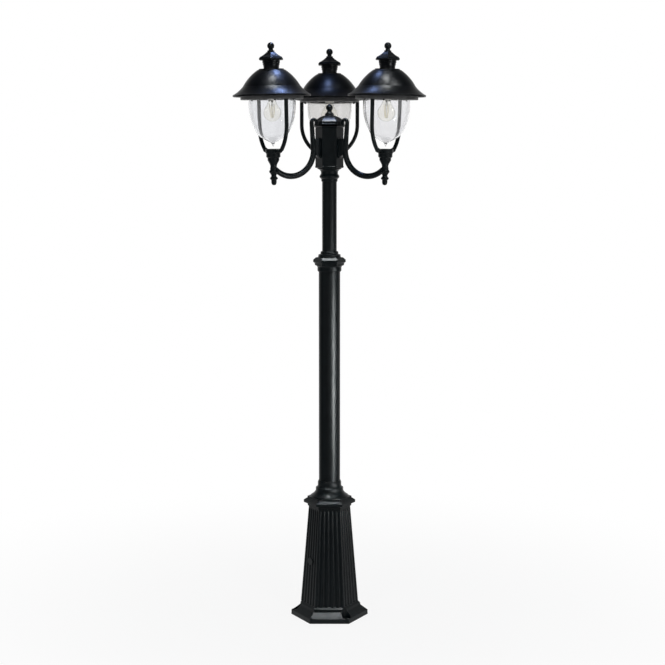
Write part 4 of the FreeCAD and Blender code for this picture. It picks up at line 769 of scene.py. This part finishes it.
# %% [markdown]
# ## The bulbs
# Inside each acorn glass the photograph shows a clear globe of about seventy millimetres with thin
# yellow sticks that spread upwards. The globe could be a squeezed ball, but its neck would be
# wrong. It is an outline turned about the lantern's axis: most of a circle, then a long inward
# curve to the neck, and the same line again 0.7 mm further in for the inner wall.

# %% Globes
# All in millimetres: levels are above the acorn's tip, along the lantern's axis
GLOBE, GLOBE_CENTRE, GLASS = 35.0, 288.0, 0.7
BALL_START, BALL_END = -89.5, 36.05  # degrees above the globe's middle
NECK, NECK_BEND = (13.0, 343.0), 88.0


def globe_outline(inset):
    """Radius and level of a globe's wall, drawn in by the inset: a circle and an inward arc."""
    rising = np.radians(np.linspace(BALL_START, BALL_END, 56))
    ball = bend(np.array([0.0, GLOBE_CENTRE]), GLOBE - inset, rising)
    neck = arc(ball[-1], (NECK[0] - inset, NECK[1]), -(NECK_BEND + inset), 24)[1:]
    return np.concatenate([ball, neck])


globe_wall = np.concatenate([globe_outline(0.0), globe_outline(GLASS)[::-1]])
for side, azimuth in SIDES.items():
    title, body, stands_for = side + "_round_globe", side + "_bulb", [side + "_bulb_globe"]
    wall = skin(turned(globe_wall, azimuth))
    globe = make_piece(title, [wall], globe_glass, body, stands_for)
    print(globe.name, "is", 2 * GLOBE, "mm wide and has", len(globe.data.polygons), "faces")

# %% [markdown]
# ## Sticks, wires and stem
# Four coated sticks stand round a thin middle wire and spread towards the cap, and wires join their
# ends. A pressed glass stem holds them. Ready-made bars would have to be turned into place one by
# one. Here a rod is a ring carried from foot to head, both given as a distance from the lantern's
# axis and a level, and it is turned about that axis four times.

# %% Sticks, wires and stem
STEM = [(0.6, 316.4), (2.2, 316.8), (3.2, 319), (3.4, 330), (4.6, 336), (8.5, 341), (11.5, 343.5)]
STICK_TOP, STICK_FOOT, STICK_TURN = (11.5, 321.0), (5.5, 268.6), 20
WIRE_TOP, WIRE_FOOT, MIDDLE_FOOT = (0, 317.5), (0, 266.5), (0.01, 266.5)
STICK, WIRE, MIDDLE_WIRE = 0.95, 0.25, 0.4  # radii
ROUNDED = 0.02  # share of a stick's length that each rounded end takes


def leaning_rod(foot, head, radius, azimuth, turn, sides=12, round_ends=True):
    """A rod from foot to head. Its ends' radius = root of (1 - (1 - distance / rounding)^2)."""
    tip, out, side, up = lantern_frame(azimuth)
    spoke = math.cos(turn) * out + math.sin(turn) * side
    across = math.cos(turn) * side - math.sin(turn) * out
    start = ROUNDED * np.array([0.0, 0.2, 0.6])
    share = np.concatenate([start, line(ROUNDED, 1 - ROUNDED, 9), 1 - start[::-1]])
    ends = np.array([foot, head]) / 1000
    path = ends[0] + share[:, None] * (ends[1] - ends[0])
    from_end = np.minimum(share, 1 - share)
    bulge = np.sqrt(np.clip(1 - np.clip(1 - from_end / ROUNDED, 0, 1) ** 2, 0.02, 1))
    radii = radius / 1000 * (bulge if round_ends else np.ones_like(share))
    return swept(tip + path[:, :1] * spoke + path[:, 1:] * up, radii, across, sides)


for side, azimuth in SIDES.items():
    turns = np.radians(STICK_TURN - azimuth) + np.arange(4) * math.pi / 2
    sticks = [skin(leaning_rod(STICK_FOOT, STICK_TOP, STICK, azimuth, turn)) for turn in turns]
    wires = [
        skin(leaning_rod(foot, head, WIRE, azimuth, turn, 8, False))
        for foot, head in ((WIRE_TOP, STICK_TOP), (WIRE_FOOT, STICK_FOOT))
        for turn in turns
    ]
    wires += [skin(leaning_rod(MIDDLE_FOOT, WIRE_TOP, MIDDLE_WIRE, azimuth, turns[0], 8, False))]
    stem = skin(turned(np.array(STEM), azimuth, 32))
    title, body, stands_for = side + "_glowing_sticks", side + "_bulb", [side + "_filament"]
    coated_sticks = make_piece(title, sticks, phosphor, body, stands_for)
    make_piece(side + "_support_wires", wires, zinc_plate, body)
    make_piece(side + "_glass_stem", [stem], stem_glass, body)
    print(coated_sticks.name, "has", len(sticks), "sticks and", len(wires), "wires")

# %% [markdown]
# ## Screw caps
# A bulb's cap is thin sheet rolled into a round thread, with a black glass insulator and a contact
# button above it. Rings stacked at even levels would look like a thread from far off, but would
# not climb. Here the radius follows the turning angle as well as the level, so the ridge rises by
# one pitch in every turn, and fades out into plain collars at both ends.

# %% Screw caps
CAP_FOOT, CAP_TOP, CREST, PITCH, THREAD_DEPTH = 343.0, 362.0, 13.2, 3.5, 0.75
LOWER_COLLAR, UPPER_COLLAR, FADE_LENGTH = 2.5, 1.0, 1.5


def thread_rings(azimuth, rows=76, sides=64):
    """Radius = core + depth * fade * (half + half of cos(2 pi level / pitch - angle))."""
    tip, out, side, up = lantern_frame(azimuth)
    level = np.linspace(CAP_FOOT, CAP_TOP, rows)[:, None]
    angle = np.linspace(0, 2 * math.pi, sides, endpoint=False)[None]
    from_collar = np.minimum(level - CAP_FOOT - LOWER_COLLAR, CAP_TOP - level - UPPER_COLLAR)
    fade = np.clip(from_collar / FADE_LENGTH, 0, 1)
    ridge = 0.5 + 0.5 * np.cos(2 * math.pi * level / PITCH - angle)
    radius = (CREST - THREAD_DEPTH + THREAD_DEPTH * fade * ridge)[..., None] / 1000
    round_about = np.cos(angle)[..., None] * out + np.sin(angle)[..., None] * side
    return tip + level[..., None] / 1000 * up + radius * round_about


CONE = np.array([(12.4, 362.0), (11.6, 363.2), (8.0, 365.0), (6.2, 366.2)])
BUTTON = np.array([(6.2, 366.0), (5.6, 367.2), (3.6, 367.9), (1.2, 368.0)])
for side, azimuth in SIDES.items():
    title, body, stands_for = side + "_screw_cap", side + "_bulb", [side + "_bulb_cap"]
    shell = [skin(thread_rings(azimuth)), skin(turned(BUTTON, azimuth, 32))]
    cone = skin(turned(CONE, azimuth, 48))
    cap = make_piece(title, shell, cap_metal, body, stands_for, 60.0)
    make_piece(side + "_cap_insulator", [cone], cap_glass, body)
    print(cap.name, "has", len(cap.data.polygons), "faces")

# %% [markdown]
# ## What each kind of ray sees
# In a studio the paper behind the object and under it is bright, and the room round the camera is
# dim. Black paint shows that more than anything: its front faces mirror the dim room and its sides
# mirror the paper. More light would whiten the paper, but would flood the post as well. So the
# paper's white is set by the kind of ray: the camera and rays through glass see plain white, a
# mirror ray sees a strength that depends on where it goes, and all other rays see a lit surface,
# so that the light on matt surfaces stays soft and plain.

# %% What each kind of ray sees
WHITE = (1.0, 1.0, 1.0, 1.0)
FRONT_ROOM = 0.04  # what a mirror ray sees in front of the post, where white is 1


def by_kind_of_ray(tree, lit, white, mirrored, paper=1.0):
    """Mixes lit and white by the larger of paper * (camera or glass ray) and mirror ray."""
    path = add(tree, "ShaderNodeLightPath")
    kinds = [path.outputs[f"Is {kind} Ray"] for kind in ("Camera", "Transmission", "Glossy")]
    straight = maths(tree, "MAXIMUM", kinds[0], kinds[1])
    shine = maths(tree, "MULTIPLY", kinds[2], mirrored)
    share = maths(tree, "MAXIMUM", maths(tree, "MULTIPLY", straight, paper), kinds[2])
    both = add(tree, "ShaderNodeMixShader")
    join(
        tree,
        (maths(tree, "MAXIMUM", straight, shine), white.inputs["Strength"]),
        (share, both.inputs[0]),
        (lit.outputs[0], both.inputs[1]),
        (white.outputs[0], both.inputs[2]),
    )
    return both.outputs[0]


print("a mirror ray sees", FRONT_ROOM, "in front of the post and 1.0 behind it")

# %% [markdown]
# ## Floor
# The post stands on a pale floor, so wide that its edge can't be made out. A small one with a
# curved backdrop would do for one view only. Near the foot a little of the lit floor is let
# through, with the post's soft shadow, and farther off it turns plain white. A mirror ray sees it
# bright behind the post and near the foot, and dim in front.

# %% Floor
FLOOR_HALF = 40.0
PAPER_AT_FOOT, GLEAM_AT_FOOT = 0.86, 0.6
floor_mesh = bpy.data.meshes.new("pale_floor")
corners = FLOOR_HALF * np.array([[-1, -1, 0], [1, -1, 0], [1, 1, 0], [-1, 1, 0]], float)
floor_mesh.from_pydata(corners.tolist(), [], [(0, 1, 2, 3)])
floor = bpy.data.objects.new("pale_floor", floor_mesh)
bpy.context.scene.collection.objects.link(floor)
FLOOR_PAINT = {"Base Color": (0.9, 0.9, 0.9, 1.0), "Roughness": 0.9}
floor_paint, tree, shader, place = start_finish("pale_floor_paint", FLOOR_PAINT)
glow = add(tree, "ShaderNodeEmission", {"Color": WHITE})
distance = add(tree, "ShaderNodeVectorMath", operation="LENGTH")
parts = add(tree, "ShaderNodeSeparateXYZ")
for node in (distance, parts):
    join(tree, (place.outputs["Object"], node.inputs[0]))
away = distance.outputs["Value"]
paper = spread(tree, away, 0.4, 2.5, PAPER_AT_FOOT, 1.0)
backward = maths(tree, "DIVIDE", parts.outputs["Y"], away)
gleam = spread(tree, away, 0.5, 2.5, GLEAM_AT_FOOT, 0.0)
mirrored = maths(tree, "MAXIMUM", spread(tree, backward, 0.1, 1.0, FRONT_ROOM, 1.0), gleam)
surface = by_kind_of_ray(tree, shader, glow, mirrored, paper)
join(tree, (surface, tree.nodes["Material Output"].inputs["Surface"]))
floor.data.materials.append(floor_paint)
print("the floor is", 2 * FLOOR_HALF, "metres wide")

# %% [markdown]
# ## Sky
# The sky could be a picture of a studio. Two soft steps do the same and can be explained: a mirror
# ray sees it fade from white behind the post to nearly black in front, and to a quarter overhead.
# The light that it gives to matt surfaces is the same all round.

# %% World
SKY, SKY_STRENGTH, CEILING = (0.97, 0.98, 1.0, 1.0), 0.55, 0.25
world = bpy.data.worlds.new("pale_sky")
bpy.context.scene.world = world
world.use_nodes = True
tree = world.node_tree
sky = tree.nodes["Background"]
sky.inputs["Color"].default_value = SKY
sky.inputs["Strength"].default_value = SKY_STRENGTH
direction = add(tree, "ShaderNodeTexCoord")
heading = add(tree, "ShaderNodeSeparateXYZ")
join(tree, (direction.outputs["Generated"], heading.inputs[0]))
behind = spread(tree, heading.outputs["Y"], 0.1, 1.0, FRONT_ROOM, 1.0)
ceiling = spread(tree, heading.outputs["Z"], 0.1, 0.6, 1.0, CEILING)
white = add(tree, "ShaderNodeBackground", {"Color": WHITE})
surface = by_kind_of_ray(tree, sky, white, maths(tree, "MULTIPLY", behind, ceiling))
join(tree, (surface, tree.nodes["World Output"].inputs["Surface"]))
print("the sky's strength on matt surfaces is", SKY_STRENGTH)

# %% [markdown]
# ## Panels and lamps
# The light on matt surfaces is plain: the sky and two wide panels in front. The photograph's shine
# says where its other lamps were. A highlight stands where the surface's direction is halfway
# between the camera and the lamp, so each one was placed by the spots it has to make: the paired
# blue spots on the domes, the grey patches between them, the long soft band down the right of the
# lower pole, and the bright slopes of foot and lid. Two dim side panels give the flanks of the
# poles their sheen. These are left out of the matt light, and the lamps that would light other
# pieces too have a narrow beam.


# %% Panels and lamps
def light_panel(
    name, place, size, power, colour=WHITE[:3], target=(0.0, 0.0, 2.1), matt=True, beam=180.0
):
    """A panel, width by height, that looks from its place towards the target."""
    data = bpy.data.lights.new(name, "AREA")
    data.shape = "RECTANGLE"
    data.size, data.size_y = size
    data.energy = power
    data.color = colour
    data.spread = math.radians(beam)
    panel = bpy.data.objects.new(name, data)
    panel.location = place
    panel.rotation_euler = (Vector(target) - Vector(place)).to_track_quat("-Z", "Y").to_euler()
    panel.visible_camera = False
    panel.visible_diffuse = matt
    bpy.context.scene.collection.objects.link(panel)


BLUE, GREY, PLAIN = (0.35, 0.5, 1.0), (0.96, 1.0, 1.0), WHITE[:3]
LEFT_DOME, RIGHT_DOME = (-0.222, -0.128, 2.25), (0.222, -0.128, 2.25)
# Name, place, width and height, power, colour, target, and the beam's width in degrees
SHINE_ONLY = [
    ("overhead_lamp", (-0.062, 0.0, 2.985), (0.12, 0.12), 10.0, BLUE, (-1.1, 0.0, 2.3), 180.0),
    ("post_lamp", (0.0, -0.45, 3.6), (0.5, 0.5), 1.0, GREY, (0.0, -0.06, 1.3), 13.0),
    ("right_hood_lamp", (0.67, -0.69, 3.18), (0.45, 0.45), 0.42, GREY, RIGHT_DOME, 28.0),
    ("left_hood_lamp", (-0.34, -0.81, 3.18), (0.45, 0.45), 0.03, GREY, LEFT_DOME, 28.0),
    ("pole_lamp", (2.19, -2.05, 0.6), (0.9, 0.3), 4.2, GREY, (0.0, 0.0, 1.0), 26.0),
    ("left_side_panel", (-3.0, -1.7, 1.3), (1.6, 2.2), 3.6, PLAIN, (0.0, 0.0, 1.3), 180.0),
    ("right_side_panel", (3.0, -1.7, 1.6), (1.2, 1.8), 8.0, PLAIN, (0.0, 0.0, 1.6), 180.0),
    ("side_lamp", (2.19, -2.05, 0.6), (0.3, 0.3), 30.0, GREY, (0.0, 0.0, 1.8), 180.0),
]
light_panel("left_front_panel", (-2.4, -4.6, 3.4), (1.2, 1.2), 30.0)
light_panel("right_front_panel", (2.4, -4.6, 3.4), (1.2, 1.2), 32.0)
for *settings, beam in SHINE_ONLY:
    light_panel(*settings, matt=False, beam=beam)
print("two panels light matt surfaces, and", len(SHINE_ONLY), "more make shine alone")
